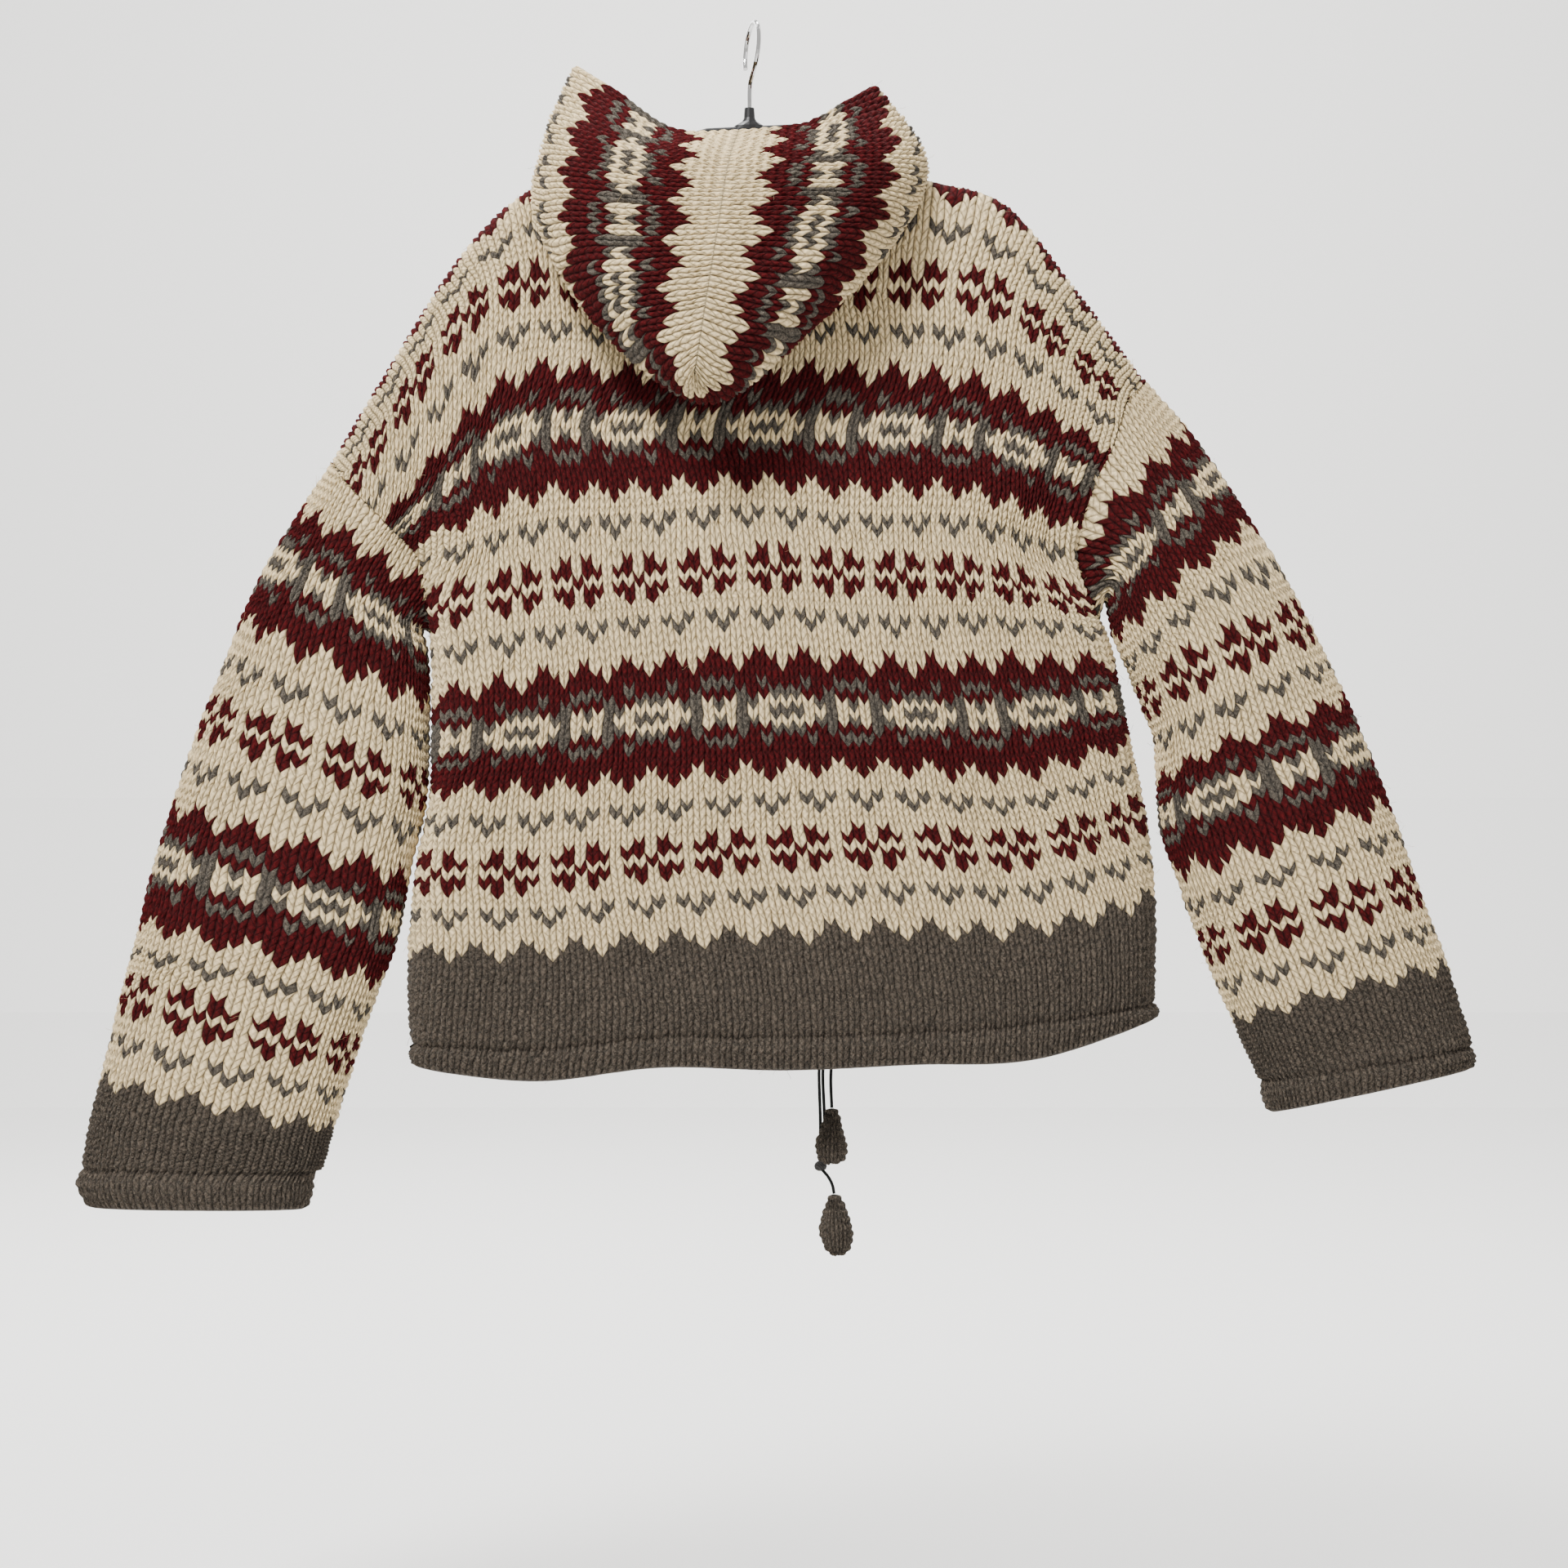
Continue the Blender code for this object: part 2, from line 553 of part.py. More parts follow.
def strip(name, line, x0, x1, y0, y1, mat):
    """A bar along the zip, with the same four-sided section all the way, mm."""
    verts, faces = [], []
    for p in line:
        for dx, dy in ((x0, y0), (x1, y0), (x1, y1), (x0, y1)):
            verts.append(tuple((p + np.array([dx, dy, 0])) / 1000))
    for n in range(len(line) - 1):
        for k in range(4):
            a, b = 4 * n + k, 4 * n + (k + 1) % 4
            faces.append((a, b, b + 4, a + 4))
    faces.append((0, 1, 2, 3))
    end = 4 * (len(line) - 1)
    faces.append((end + 3, end + 2, end + 1, end))
    return mesh_object(name, verts, faces, mat)


def build_zip(tape, metal):
    rows, line = zip_line()
    # The chain lies behind the front edges, its tapes in its middle plane.
    front = -WALL + 0.6
    strip("zip_chain", line, -CHAIN_HALF, CHAIN_HALF, front - CHAIN_THICK, front, metal)
    plane = -HEM_WALL - 0.3
    near, far = CHAIN_HALF + 0.3, CHAIN_HALF + 0.3 + TAPE_WIDE
    tapes = line[rows <= 89]
    strip("zip_tape_right", tapes, near, far, plane - TAPE_THICK, plane, tape)
    strip("zip_tape_left", tapes, -far, -near, plane - TAPE_THICK, plane, tape)
    at = body_surface(np.interp([SLIDER_ROW], [0, TOP_ROW], ZIP_S), np.ones(1),
                      np.array([SLIDER_ROW]), 1)[0]
    return at, front


def box(name, centre, size, mat):
    bm = bmesh.new()
    bmesh.ops.create_cube(bm, size=1)
    for v in bm.verts:
        v.co = [(centre[k] + v.co[k] * size[k]) / 1000 for k in range(3)]
    return finish(name, bm, mat)


def rod(name, centre, radius, length, mat, steps=16):
    """A cylinder along X."""
    bm = bmesh.new()
    bmesh.ops.create_cone(bm, cap_ends=True, segments=steps, radius1=radius, radius2=radius,
                          depth=length)
    for v in bm.verts:
        x, y, z = v.co
        v.co = ((centre[0] + z) / 1000, (centre[1] + y) / 1000, (centre[2] - x) / 1000)
    return finish(name, bm, mat)


def finish(name, bm, mat):
    mesh = bpy.data.meshes.new(name)
    bmesh.ops.recalc_face_normals(bm, faces=bm.faces)
    bm.to_mesh(mesh)
    bm.free()
    made = bpy.data.objects.new(name, mesh)
    bpy.context.scene.collection.objects.link(made)
    mesh.materials.append(mat)
    return made


def boolean(target, cutter, operation):
    made = target.modifiers.new(operation.lower() + "_" + cutter.name, "BOOLEAN")
    made.operation = operation
    made.object = cutter
    made.solver = "EXACT"
    cutter.hide_render = True
    cutter.display_type = "WIRE"


def build_slider(at, front, metal):
    """The slider's cap with two lugs and a pin, and the pull tab that swings on the pin."""
    x, y, z = at
    face = y + front + 1.0
    cap = box("zip_slider", (x, face + 1.3, z), (10.4, 2.6, 12.0), metal)
    pin_y, pin_z = face + 5.3, z + 1.0
    for k in (-1, 1):
        lug = box("lug_%d" % (k + 1), (x + k * 3.3, face + 4.0, pin_z), (1.2, 5.2, 4.6), metal)
        boolean(cap, lug, "UNION")
    boolean(cap, rod("pin_bar", (x, pin_y, pin_z), 0.7, 6.8, metal), "UNION")
    tab = box("zip_pull", (x, pin_y + 0.2, pin_z - PULL_LONG / 2 - 1.2), (4.6, 1.6, PULL_LONG), metal)
    boolean(tab, rod("pull_eye", (x, pin_y, pin_z), 2.2, 4.6, metal), "UNION")
    boolean(tab, rod("pull_hole", (x, pin_y, pin_z), 1.1, 12.0, metal), "DIFFERENCE")
    for made in (tab,):
        # The tab's origin is on its pin.
        centre = (x / 1000, pin_y / 1000, pin_z / 1000)
        for v in made.data.vertices:
            v.co = [v.co[k] - centre[k] for k in range(3)]
        made.location = centre
    return pin_y, pin_z


def loft(name, sections, mat):
    """A closed bar through rings of points, mm, with flat ends."""
    verts = [tuple(p / 1000) for ring in sections for p in ring]
    n = len(sections[0])
    faces = []
    for j in range(len(sections) - 1):
        for i in range(n):
            a, b = j * n + i, j * n + (i + 1) % n
            faces.append((a, b, b + n, a + n))
    faces.append(tuple(range(n)))
    faces.append(tuple(reversed(range((len(sections) - 1) * n, len(sections) * n))))
    return mesh_object(name, verts, faces, mat)


def build_hanger(plastic, chrome):
    """A plain one-bar hanger: two sloping arms, a fairing at the hub and a wire hook."""
    rings = []
    angle = np.arange(16) * 2 * math.pi / 16
    for x, top, taper in ARM_LINE:
        high, deep = ARM_HIGH / 2 * taper, ARM_DEEP / 2 * taper
        c = np.array([x, 0, top - ARM_HIGH / 2])
        y = np.sign(np.cos(angle)) * np.abs(np.cos(angle)) ** 0.6 * deep
        z = np.sign(np.sin(angle)) * np.abs(np.sin(angle)) ** 0.6 * high
        rings.append(np.stack([np.full(16, c[0]), c[1] + y, c[2] + z], 1))
    bar = loft("hanger", rings, plastic)
    hub = []
    for z, wide, deep in ((-79.0, 13.5, 5.0), (-75.0, 11.0, 5.0), (-72.0, 5.6, 4.6),
                          (-69.5, 4.2, 4.2), (-62.0, 3.7, 3.7)):
        hub.append(np.stack([HUB_X + np.cos(angle) * wide, np.sin(angle) * deep,
                             np.full(16, z)], 1))
    boolean(bar, loft("hub_form", hub, plastic), "UNION")
    near = np.array([math.sin(HOOK_TURN), -math.cos(HOOK_TURN)])
    ring = HOOK_R + WIRE_R
    route = [(0.0, -61.7), (0.0, -56.0), (0.0, -50.0), (1.2, -44.5), (6.5, -38.5)]
    for degrees in (-38, -18, 0, 20, 40, 60, 75, 90, 105, 120, 140, 160, 180, 200, 215):
        a = math.radians(degrees)
        route.append((ring * math.cos(a), -HOOK_R + ring * math.sin(a)))
    route = np.array(route)
    length = np.concatenate([[0], np.cumsum(np.hypot(*np.diff(route, axis=0).T))])
    even = np.linspace(0, length[-1], 44)
    path = smooth(length, route, even)
    points = []
    for u, z in path:
        lean = HUB_X * np.clip(-z / 45.0, 0, 1)
        points.append((near[0] * u + lean, near[1] * u, z))
    tube("hanger_hook", points, WIRE_R, chrome, 3)


def tube(name, points, radius, mat, resolution):
    curve = bpy.data.curves.new(name, "CURVE")
    curve.dimensions = "3D"
    curve.bevel_depth = radius / 1000
    curve.bevel_resolution = resolution
    curve.use_fill_caps = True
    spline = curve.splines.new("POLY")
    spline.points.add(len(points) - 1)
    for point, p in zip(spline.points, points):
        point.co = (p[0] / 1000, p[1] / 1000, p[2] / 1000, 1)
    made = bpy.data.objects.new(name, curve)
    bpy.context.scene.collection.objects.link(made)
    curve.materials.append(mat)
    return made


def cord(name, route, mat):
    """A cord end along a smooth curve, a point every five millimetres."""
    route = np.array(route, float)
    length = np.concatenate([[0], np.cumsum(np.linalg.norm(np.diff(route, axis=0), axis=1))])
    count = max(4, int(length[-1] / 5.0) + 1)
    return tube(name, smooth(length, route, np.linspace(0, length[-1], count)), CORD_R, mat, 2)


def turned(name, centre, profile, flat, lean, mat, steps=20):
    """A body turned about a nearly vertical axis: profile of (height, radius), mm."""
    angle = np.arange(steps) * 2 * math.pi / steps
    rings = []
    for z, r in profile:
        ring = np.stack([r * np.cos(angle) + lean * (z - profile[0][0]),
                         r * np.sin(angle) * flat, np.full(steps, z)], 1)
        rings.append(ring + np.array(centre))
    return loft(name, rings, mat)


def build_cords(black, tassel_wool):
    cord("drawcord_left", CORD_LEFT, black)
    cord("drawcord_left_second", CORD_LEFT_SECOND, black)
    cord("drawcord_right", CORD_RIGHT, black)
    cord("drawcord_lower", CORD_LOWER, black)
    turned("drawcord_knot", KNOT, [(-3.7, 2.2), (-2.4, 4.2), (0, 4.9), (2.2, 4.0), (3.6, 2.2)],
           0.8, 0.0, black, 12)
    shape = [(0, 2.6), (-3, 3.8), (-10, 5.6), (-18, 8.2), (-25, 10.8), (-30, 11.7), (-35, 11.2),
             (-39, 8.6), (-41, 5.0)]
    turned("tassel_upper", (58.8, 24.2, -809.2), shape, 0.62, 0.006, tassel_wool)
    shape = [(0, 2.6), (-3, 4.0), (-8, 7.0), (-13, 10.0), (-19, 12.0), (-27, 11.6), (-35, 9.8),
             (-42, 6.6), (-46, 3.4)]
    turned("tassel_lower", (60.7, 26.4, -874.2), shape, 0.62, -0.06, tassel_wool)


def main():
    clear_scene()
    wool = material("wool_knit", WOOL, 0.95)
    tassel = material("tassel_wool", HEM_GREY, 0.95)
    black = material("black_plastic", BLACK, 0.35)
    cord_black = material("black_cord", BLACK, 0.6)
    tape = material("zip_tape", (0.03, 0.028, 0.027, 1), 0.85)
    metal = material("zip_metal", (0.55, 0.53, 0.5, 1), 0.35, 1.0)
    chrome = material("hook_chrome", (0.75, 0.75, 0.75, 1), 0.15, 1.0)
    back, left, right = build_body(wool)
    build_sleeve("sleeve_left", True, SLEEVE_LEFT, wool)
    build_sleeve("sleeve_right", False, SLEEVE_RIGHT, wool)
    build_hood(back, left, right, wool)
    at, front = build_zip(tape, metal)
    build_slider(at, front, metal)
    build_hanger(black, chrome)
    build_cords(cord_black, tassel)


main()
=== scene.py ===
# %% [markdown]
# A fair isle zip-up hoodie on a clothes hanger, dressed stitch by stitch.
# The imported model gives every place: its origin is the inner crown of the hanger's hook,
# the garment's back faces -Y and its zip faces +Y. The cloth is made again here from the
# same few rows of sizes, this time with one small V for each stitch of the stockinette.

import math

import bmesh
import bpy
import numpy as np
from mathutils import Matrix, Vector


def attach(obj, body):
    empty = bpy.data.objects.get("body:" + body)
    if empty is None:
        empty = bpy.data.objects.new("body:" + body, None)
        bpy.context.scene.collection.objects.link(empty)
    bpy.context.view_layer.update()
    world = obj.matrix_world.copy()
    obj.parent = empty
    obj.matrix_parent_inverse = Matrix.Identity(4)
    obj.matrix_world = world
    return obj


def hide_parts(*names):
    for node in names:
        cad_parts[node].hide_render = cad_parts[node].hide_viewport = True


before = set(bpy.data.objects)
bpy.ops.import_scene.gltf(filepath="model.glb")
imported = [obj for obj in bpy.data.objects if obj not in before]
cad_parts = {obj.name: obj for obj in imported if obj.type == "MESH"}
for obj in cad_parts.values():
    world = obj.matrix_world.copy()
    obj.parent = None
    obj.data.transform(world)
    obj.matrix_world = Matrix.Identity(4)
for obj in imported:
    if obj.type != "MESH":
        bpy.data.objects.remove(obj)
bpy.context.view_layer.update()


def add_object(name, data):
    made = bpy.data.objects.new(name, data)
    bpy.context.scene.collection.objects.link(made)
    return made



# %% [markdown]
# The photo's view comes first. It looks straight at the garment's back. One pixel of the
# photo is 0.6 mm at the back panel, so the frame is 1.152 m wide there.

# %% Camera
VIEW_WIDE = 1.152
VIEW_FAR = 2.25
SENSOR = 36.0
camera_data = bpy.data.cameras.new("camera")
camera = add_object("camera", camera_data)
camera_data.sensor_width = SENSOR
camera_data.lens = SENSOR * VIEW_FAR / VIEW_WIDE
camera.location = (0.0228, -VIEW_FAR - 0.03, -0.565)
camera.rotation_euler = (math.radians(90), 0, 0)
bpy.context.scene.camera = camera
print("lens %.1f mm" % camera_data.lens)

# %% [markdown]
# The body is given by rows of knitting. Each row of the table has its number, its left and
# right end, the height of the row at even steps, and half the depth of the garment there.

# %% Sizes of the cloth, mm
WALL = 4.0
SEAM = 0.15
SIDE_ROUND = 30.0
TOP_ROUND_ROWS = 3.0
ARMPIT_ROW = 50.5
TOP_ROW = 94.0
ARMHOLE_DEPTH = 21.0
ARMHOLE_SEAM = 0.4
NECK_SEAM = 2.0
NECK_DEPTH_BACK = 15.0
NECK_DEPTH_FRONT = 24.0
NECK_FLARE_ROWS = 9.0
NECK_DIP_ROWS = 10.0
NECK_X = (-112, 95)
ZIP_SLOT = 6.5
ZIP_S = (0.548, 0.52)
BODY_ROWS = [
    (-4.0, -251, 299, (-774, -783, -773, -775, -771, -767, -738), 27),
    (0.0, -254, 298, (-757, -760, -751, -751, -748, -741, -727), 29),
    (12.0, -256, 298, (-689, -688, -680, -675, -671, -671, -648), 28),
    (21.5, -251, 291, (-631, -630, -620, -613, -610, -612, -586), 29),
    (31.0, -240, 280, (-571, -568, -560, -554, -553, -557, -534), 30),
    (37.5, -239, 274, (-536, -526, -516, -511, -514, -514, -503), 31),
    (47.5, -239, 262, (-470, -455, -445, -439, -446, -445, -453), 31),
    (52.5, -241, 252, (-437, -421, -414, -407, -411, -415, -434), 30),
    (58.5, -245, 239, (-402, -378, -371, -364, -371, -373, -397), 28),
    (62.0, -252, 241, (-391, -355, -349, -343, -348, -350, -378), 27),
    (68.5, -264, 253, (-380, -307, -303, -302, -304, -310, -341), 25),
    (74.0, -272, 264, (-371, -269, -261, -260, -261, -272, -319), 22),
    (83.5, -298, 276, (-345, -210, -197, -195, -196, -206, -283), 18),
    (94.0, -313, 291, (-326, -243, -166, -120, -110, -121, -128, -122, -111, -118, -136, -199,
                       -266), 13),
]
BODY_FOLDS = [
    (162, -345, 170, -470, 20, 5.0, -1),
    (196, -382, 262, -440, 18, -4.0, -1),
    (-236, -470, -190, -395, 24, 4.0, -1),
    (-120, -560, -110, -720, 40, 3.0, -1),
    (70, -600, 84, -740, 45, 3.5, -1),
    (-150, -420, -165, -700, 40, 4.0, 1),
    (170, -430, 190, -700, 40, 4.0, 1),
]
# x of seven wales of the back on each row of the table above
WALES = (2.5, 8.5, 20.5, 32.5, 44.5, 56.5, 62.5)
WALE_X = [
    (-237, -184, -60, 57, 165, 258, 300),
    (-237, -180, -58, 57, 167, 260, 300),
    (-232, -176, -65, 49, 157, 257, 302),
    (-234, -179, -74, 35, 143, 239, 276),
    (-227, -175, -75, 30, 130, 222, 265),
    (-219, -170, -74, 25, 124, 213, 255),
    (-224, -171, -80, 19, 112, 197, 239),
    (-228, -173, -84, 17, 109, 194, 232),
    (-214, -177, -86, 12, 107, 188, 218),
    (-214, -176, -87, 12, 107, 192, 220),
    (-217, -181, -94, 10, 105, 196, 232),
    (-212, -172, -77, 25, 119, 206, 244),
    (-212, -168, -82, 18, 121, 215, 254),
    (-228, -178, -84, 16, 128, 236, 279),
]
WALE_WIDE = 8.4
print("rows in the body table:", len(BODY_ROWS))


# %% [markdown]
# A short table becomes a smooth surface in two steps: a smooth curve is drawn through the
# values, and then read wherever a stitch needs a point. The same few helpers serve the body,
# the sleeves and the hood.

# %% Curve helpers
def smooth(knots, values, at):
    """Smooth curve through values (first axis) at knots, read at the places in at."""
    k = np.asarray(knots, float)
    v = np.asarray(values, float)
    at = np.atleast_1d(np.asarray(at, float))
    wide = (-1,) + (1,) * (v.ndim - 1)
    step = np.diff(k)
    slope = np.diff(v, axis=0) / step.reshape(wide)
    tangent = np.empty_like(v)
    tangent[0], tangent[-1] = slope[0], slope[-1]
    before, after = step[:-1].reshape(wide), step[1:].reshape(wide)
    tangent[1:-1] = (slope[:-1] * after + slope[1:] * before) / (before + after)
    i = np.clip(np.searchsorted(k, at, side="right") - 1, 0, len(k) - 2)
    t = ((at - k[i]) / step[i]).reshape(wide)
    h = step[i].reshape(wide)
    low = (2 * t**3 - 3 * t**2 + 1) * v[i] + (t**3 - 2 * t**2 + t) * h * tangent[i]
    high = (3 * t**2 - 2 * t**3) * v[i + 1] + (t**3 - t**2) * h * tangent[i + 1]
    return low + high


def unit(v):
    return v / np.maximum(np.linalg.norm(v, axis=-1, keepdims=True), 1e-9)


def grid_read(table, row_at, col_at):
    """Values of a table (rows, columns, k) at fractional places."""
    i = np.clip(row_at.astype(int), 0, table.shape[0] - 2)
    j = np.clip(col_at.astype(int), 0, table.shape[1] - 2)
    a, b = (row_at - i)[..., None], (col_at - j)[..., None]
    near = table[i, j] * (1 - b) + table[i, j + 1] * b
    far = table[i + 1, j] * (1 - b) + table[i + 1, j + 1] * b
    return near * (1 - a) + far * a


# %% The body's surface
ROW_NUMBERS = np.array([r[0] for r in BODY_ROWS])


def row_curves(samples=257):
    curves, lengths = [], []
    for row, left, right, heights, depth in BODY_ROWS:
        xs = np.linspace(left, right, 769)
        zs = smooth(np.linspace(left, right, len(heights)), heights, xs)
        length = np.concatenate([[0], np.cumsum(np.hypot(np.diff(xs), np.diff(zs)))])
        even = np.linspace(0, length[-1], samples)
        curves.append(np.stack([np.interp(even, length, xs), np.interp(even, length, zs)], 1))
        lengths.append(length[-1])
    return np.array(curves), np.array(lengths)


CURVES, ROW_LENGTHS = row_curves()
SHARES = np.linspace(0, 1, CURVES.shape[1])
NECK_S = tuple(float(v) for v in np.interp(NECK_X, CURVES[-1, :, 0], SHARES))
DENSE_STEP = 0.25
DENSE_ROWS = np.arange(-4, TOP_ROW + DENSE_STEP / 2, DENSE_STEP)
PLAN = smooth(ROW_NUMBERS, CURVES, DENSE_ROWS)
DEPTHS = smooth(ROW_NUMBERS, np.array([r[4] for r in BODY_ROWS], float), DENSE_ROWS)
ROLL = SIDE_ROUND / 520.0


def plan(s, row):
    """x, z of the body's outline plane at share s across and a knit row."""
    return grid_read(PLAN, (row + 4) / DENSE_STEP, np.clip(s, 0, 1) * (len(SHARES) - 1))


def folds(x, z, side):
    total = np.zeros_like(x)
    for x0, z0, x1, z1, width, height, on in BODY_FOLDS:
        if on == side:
            dx, dz = x1 - x0, z1 - z0
            t = np.clip(((x - x0) * dx + (z - z0) * dz) / (dx * dx + dz * dz), 0, 1)
            away = np.hypot(x - x0 - t * dx, z - z0 - t * dz)
            total += height * np.exp(-((away / width) ** 2)) * np.sin(np.pi * np.clip(t, 0.12, 0.88))
    return total


def armhole_angle(row):
    a = np.clip((np.asarray(row, float) - ARMPIT_ROW) / (TOP_ROW - ARMPIT_ROW), 0, 1)
    return np.arccos(1 - 2 * a)


def neck_share(s):
    u = (np.asarray(s, float) - NECK_S[0]) / (NECK_S[1] - NECK_S[0])
    return np.where((u > 0) & (u < 1), np.abs(np.sin(np.pi * np.clip(u, 0, 1))) ** 1.5, 0.0)


def side_sine(s):
    away = np.clip(np.minimum(s, 1 - s) / ROLL, 0, 1)
    return np.sqrt(1 - (1 - away) ** 2)


def body_surface(s, row, side):
    """Outer surface of the back (side -1) or the front (side 1), mm."""
    s = np.clip(s, 0, 1)
    row = np.clip(row, -4, TOP_ROW)
    lifted = row
    if side > 0:
        top = TOP_ROW - NECK_DIP_ROWS * neck_share(s)
        lifted = np.where(row > 62, 62 + (row - 62) * (top - 62) / (TOP_ROW - 62), row)
    xz = plan(s, lifted)
    away = np.clip((TOP_ROW - row) / TOP_ROUND_ROWS, 0, 1)
    top_sine = np.sqrt(1 - (1 - away) ** 2)
    flare = np.clip((TOP_ROW - row) / NECK_FLARE_ROWS, 0, 1)
    top_sine = top_sine + (flare**2 * (3 - 2 * flare) - top_sine) * neck_share(s) ** 0.3
    depth = np.interp(row, DENSE_ROWS, DEPTHS) * (0.95 if side > 0 else 1.0)
    sine = side_sine(s)
    edge = ARMHOLE_DEPTH * np.sin(armhole_angle(row))
    neck = (NECK_DEPTH_BACK if side < 0 else NECK_DEPTH_FRONT) * neck_share(s) ** 0.26
    out = depth * sine * top_sine + edge * (1 - sine) + neck * (1 - top_sine)
    out = out + folds(xz[..., 0], xz[..., 1], side) * sine * top_sine
    return np.stack([xz[..., 0], side * (out + SEAM), xz[..., 1]], -1)


print("row lengths, mm:", [round(v) for v in ROW_LENGTHS])

# %% [markdown]
# Wales are the columns of a knit. On the back they follow the photo, so each row of the
# table has the x of seven wales. They are turned into shares along the row and read smoothly.

# %% Wales of the back and fronts
WALE_KNOTS = (-30.0,) + WALES + (90.0,)


def wale_shares():
    rows = []
    for n, xs in enumerate(WALE_X):
        s = np.interp(xs, CURVES[n, :, 0], SHARES)
        pitch = WALE_WIDE / ROW_LENGTHS[n]
        s[-1] = min(s[-1], s[-2] + 6 * pitch * 1.15)
        slope = np.interp(ROW_NUMBERS[n], [0, 48, 60, 94], [8.4, 8.4, 10.4, 11.2])
        low = s[0] - slope / ROW_LENGTHS[n] * (WALES[0] - WALE_KNOTS[0])
        high = s[-1] + pitch * (WALE_KNOTS[-1] - WALES[-1])
        rows.append(np.concatenate([[low], s, [high]]))
    return smooth(ROW_NUMBERS, np.array(rows), DENSE_ROWS)


WALE_TABLE = wale_shares()
LENGTHS = smooth(ROW_NUMBERS, ROW_LENGTHS, DENSE_ROWS)


def back_place(c, r):
    rows = np.clip(r, -4, TOP_ROW)
    at = (rows + 4) / DENSE_STEP
    i = np.clip(at.astype(int), 0, len(DENSE_ROWS) - 2)
    f = at - i
    k = np.clip(np.searchsorted(WALE_KNOTS, c, side="right") - 1, 0, len(WALE_KNOTS) - 2)
    knots = np.array(WALE_KNOTS)
    g = (c - knots[k]) / (knots[k + 1] - knots[k])
    near = WALE_TABLE[i, k] * (1 - g) + WALE_TABLE[i, k + 1] * g
    far = WALE_TABLE[i + 1, k] * (1 - g) + WALE_TABLE[i + 1, k + 1] * g
    return body_surface(near * (1 - f) + far * f, rows, -1)


def front_place(c, r, left):
    """On the fronts the wales run beside the zip, which lies at wale 32.5."""
    rows = np.clip(r, -4, TOP_ROW)
    long = np.interp(rows, DENSE_ROWS, LENGTHS)
    zip_s = np.interp(rows, [0, TOP_ROW], ZIP_S)
    pitch = np.interp(rows, [0, 50, 94], [8.9, 8.3, 8.6]) / long
    slot = ZIP_SLOT / np.interp(rows, [-4, 94], [556, 560])
    s = zip_s + (c - 32.5) * pitch
    s = np.minimum(s, zip_s - slot) if left else np.maximum(s, zip_s + slot)
    return body_surface(s, rows, 1)


# %% [markdown]
# A sleeve is a flattened tube. Its first ring is the armhole seam, the rest are sections
# from the table. The rows of knitting slope across the sleeve, so a stitch's row number is
# looked up from the heights of the rows at the sleeve's outer and inner edge.

# %% Sleeves
SLEEVE_LEFT = [
    (-344, -374, -247, -451, 22), (-362, -403, -243, -470, 24), (-378, -437, -242, -498, 25),
    (-394, -479, -242.5, -531, 25), (-409, -515, -243, -560, 25), (-424, -558, -246, -588, 25),
    (-438, -601, -254, -620, 24), (-448, -635, -260, -652, 24), (-457, -675, -266, -680, 24),
    (-468, -715, -281, -722, 24), (-477, -752, -291, -750, 24), (-486, -789, -302, -785, 24),
    (-494, -822, -313, -820, 23), (-498, -846, -321, -848, 22), (-500, -860, -330, -860, 24),
    (-493, -879, -334, -880, 20),
]
SLEEVE_RIGHT = [
    (318, -296, 262, -428, 22), (335, -318, 269, -456, 24), (354, -346, 280, -482, 25),
    (374, -377, 290, -508, 25), (393, -408, 299, -532, 25), (412, -444, 301, -565, 25),
    (430, -480, 303.5, -598, 25), (447, -516, 315, -632, 24), (462, -553, 325, -661, 24),
    (477, -592, 336, -690, 24), (490, -630, 348, -720, 24), (503, -666, 358, -741, 24),
    (515, -698, 367, -762, 23), (525, -731, 375, -779, 22), (533, -757, 381, -792, 24),
    (533, -776, 385, -808, 20),
]
# knit row, z of that row at the outer edge and at the inner edge
ROWS_LEFT = [(77, -330, -400), (74, -354, -424), (68.5, -399, -458), (62, -443, -505),
             (58.5, -474, -531), (52.5, -513, -570), (47.5, -550, -599), (43, -582, -635),
             (37.5, -620, -668), (31, -668, -711), (27.5, -688, -733), (21.5, -716, -766),
             (12, -784, -820), (0, -850, -853), (-4, -879, -880)]
ROWS_RIGHT = [(77, -272, -365), (74, -302, -386), (68.5, -334, -422), (62, -371, -456),
              (58.5, -403, -476), (52.5, -443, -504), (47.5, -476, -532), (43, -501, -562),
              (37.5, -535, -589), (31, -580, -629), (27.5, -602, -657), (21.5, -640, -685),
              (12, -700, -740), (0, -760, -785), (-4, -776, -808)]
SLEEVE_TOP = 82
SLEEVE_ROW = 6.9        # mm between rows beside the armhole seam
SLEEVE_COLUMNS = 48


def armhole_ring(angle, left):
    """Points of the armhole ring at angles from the armpit, back side first."""
    rows = np.linspace(ARMPIT_ROW, TOP_ROW, 61)
    pts = plan(np.full(61, 0.0 if left else 1.0), rows)
    t = np.gradient(pts, axis=0)
    t /= np.linalg.norm(t, axis=1)[:, None]
    inward = np.stack([t[:, 1], -t[:, 0]], 1) * (1 if left else -1)
    at = ARMPIT_ROW + (TOP_ROW - ARMPIT_ROW) * (1 - np.cos(angle)) / 2
    x = np.interp(at, rows, pts[:, 0] - inward[:, 0] * ARMHOLE_SEAM)
    z = np.interp(at, rows, pts[:, 1] - inward[:, 1] * ARMHOLE_SEAM)
    return np.stack([x, -ARMHOLE_DEPTH * np.sin(angle), z], -1)


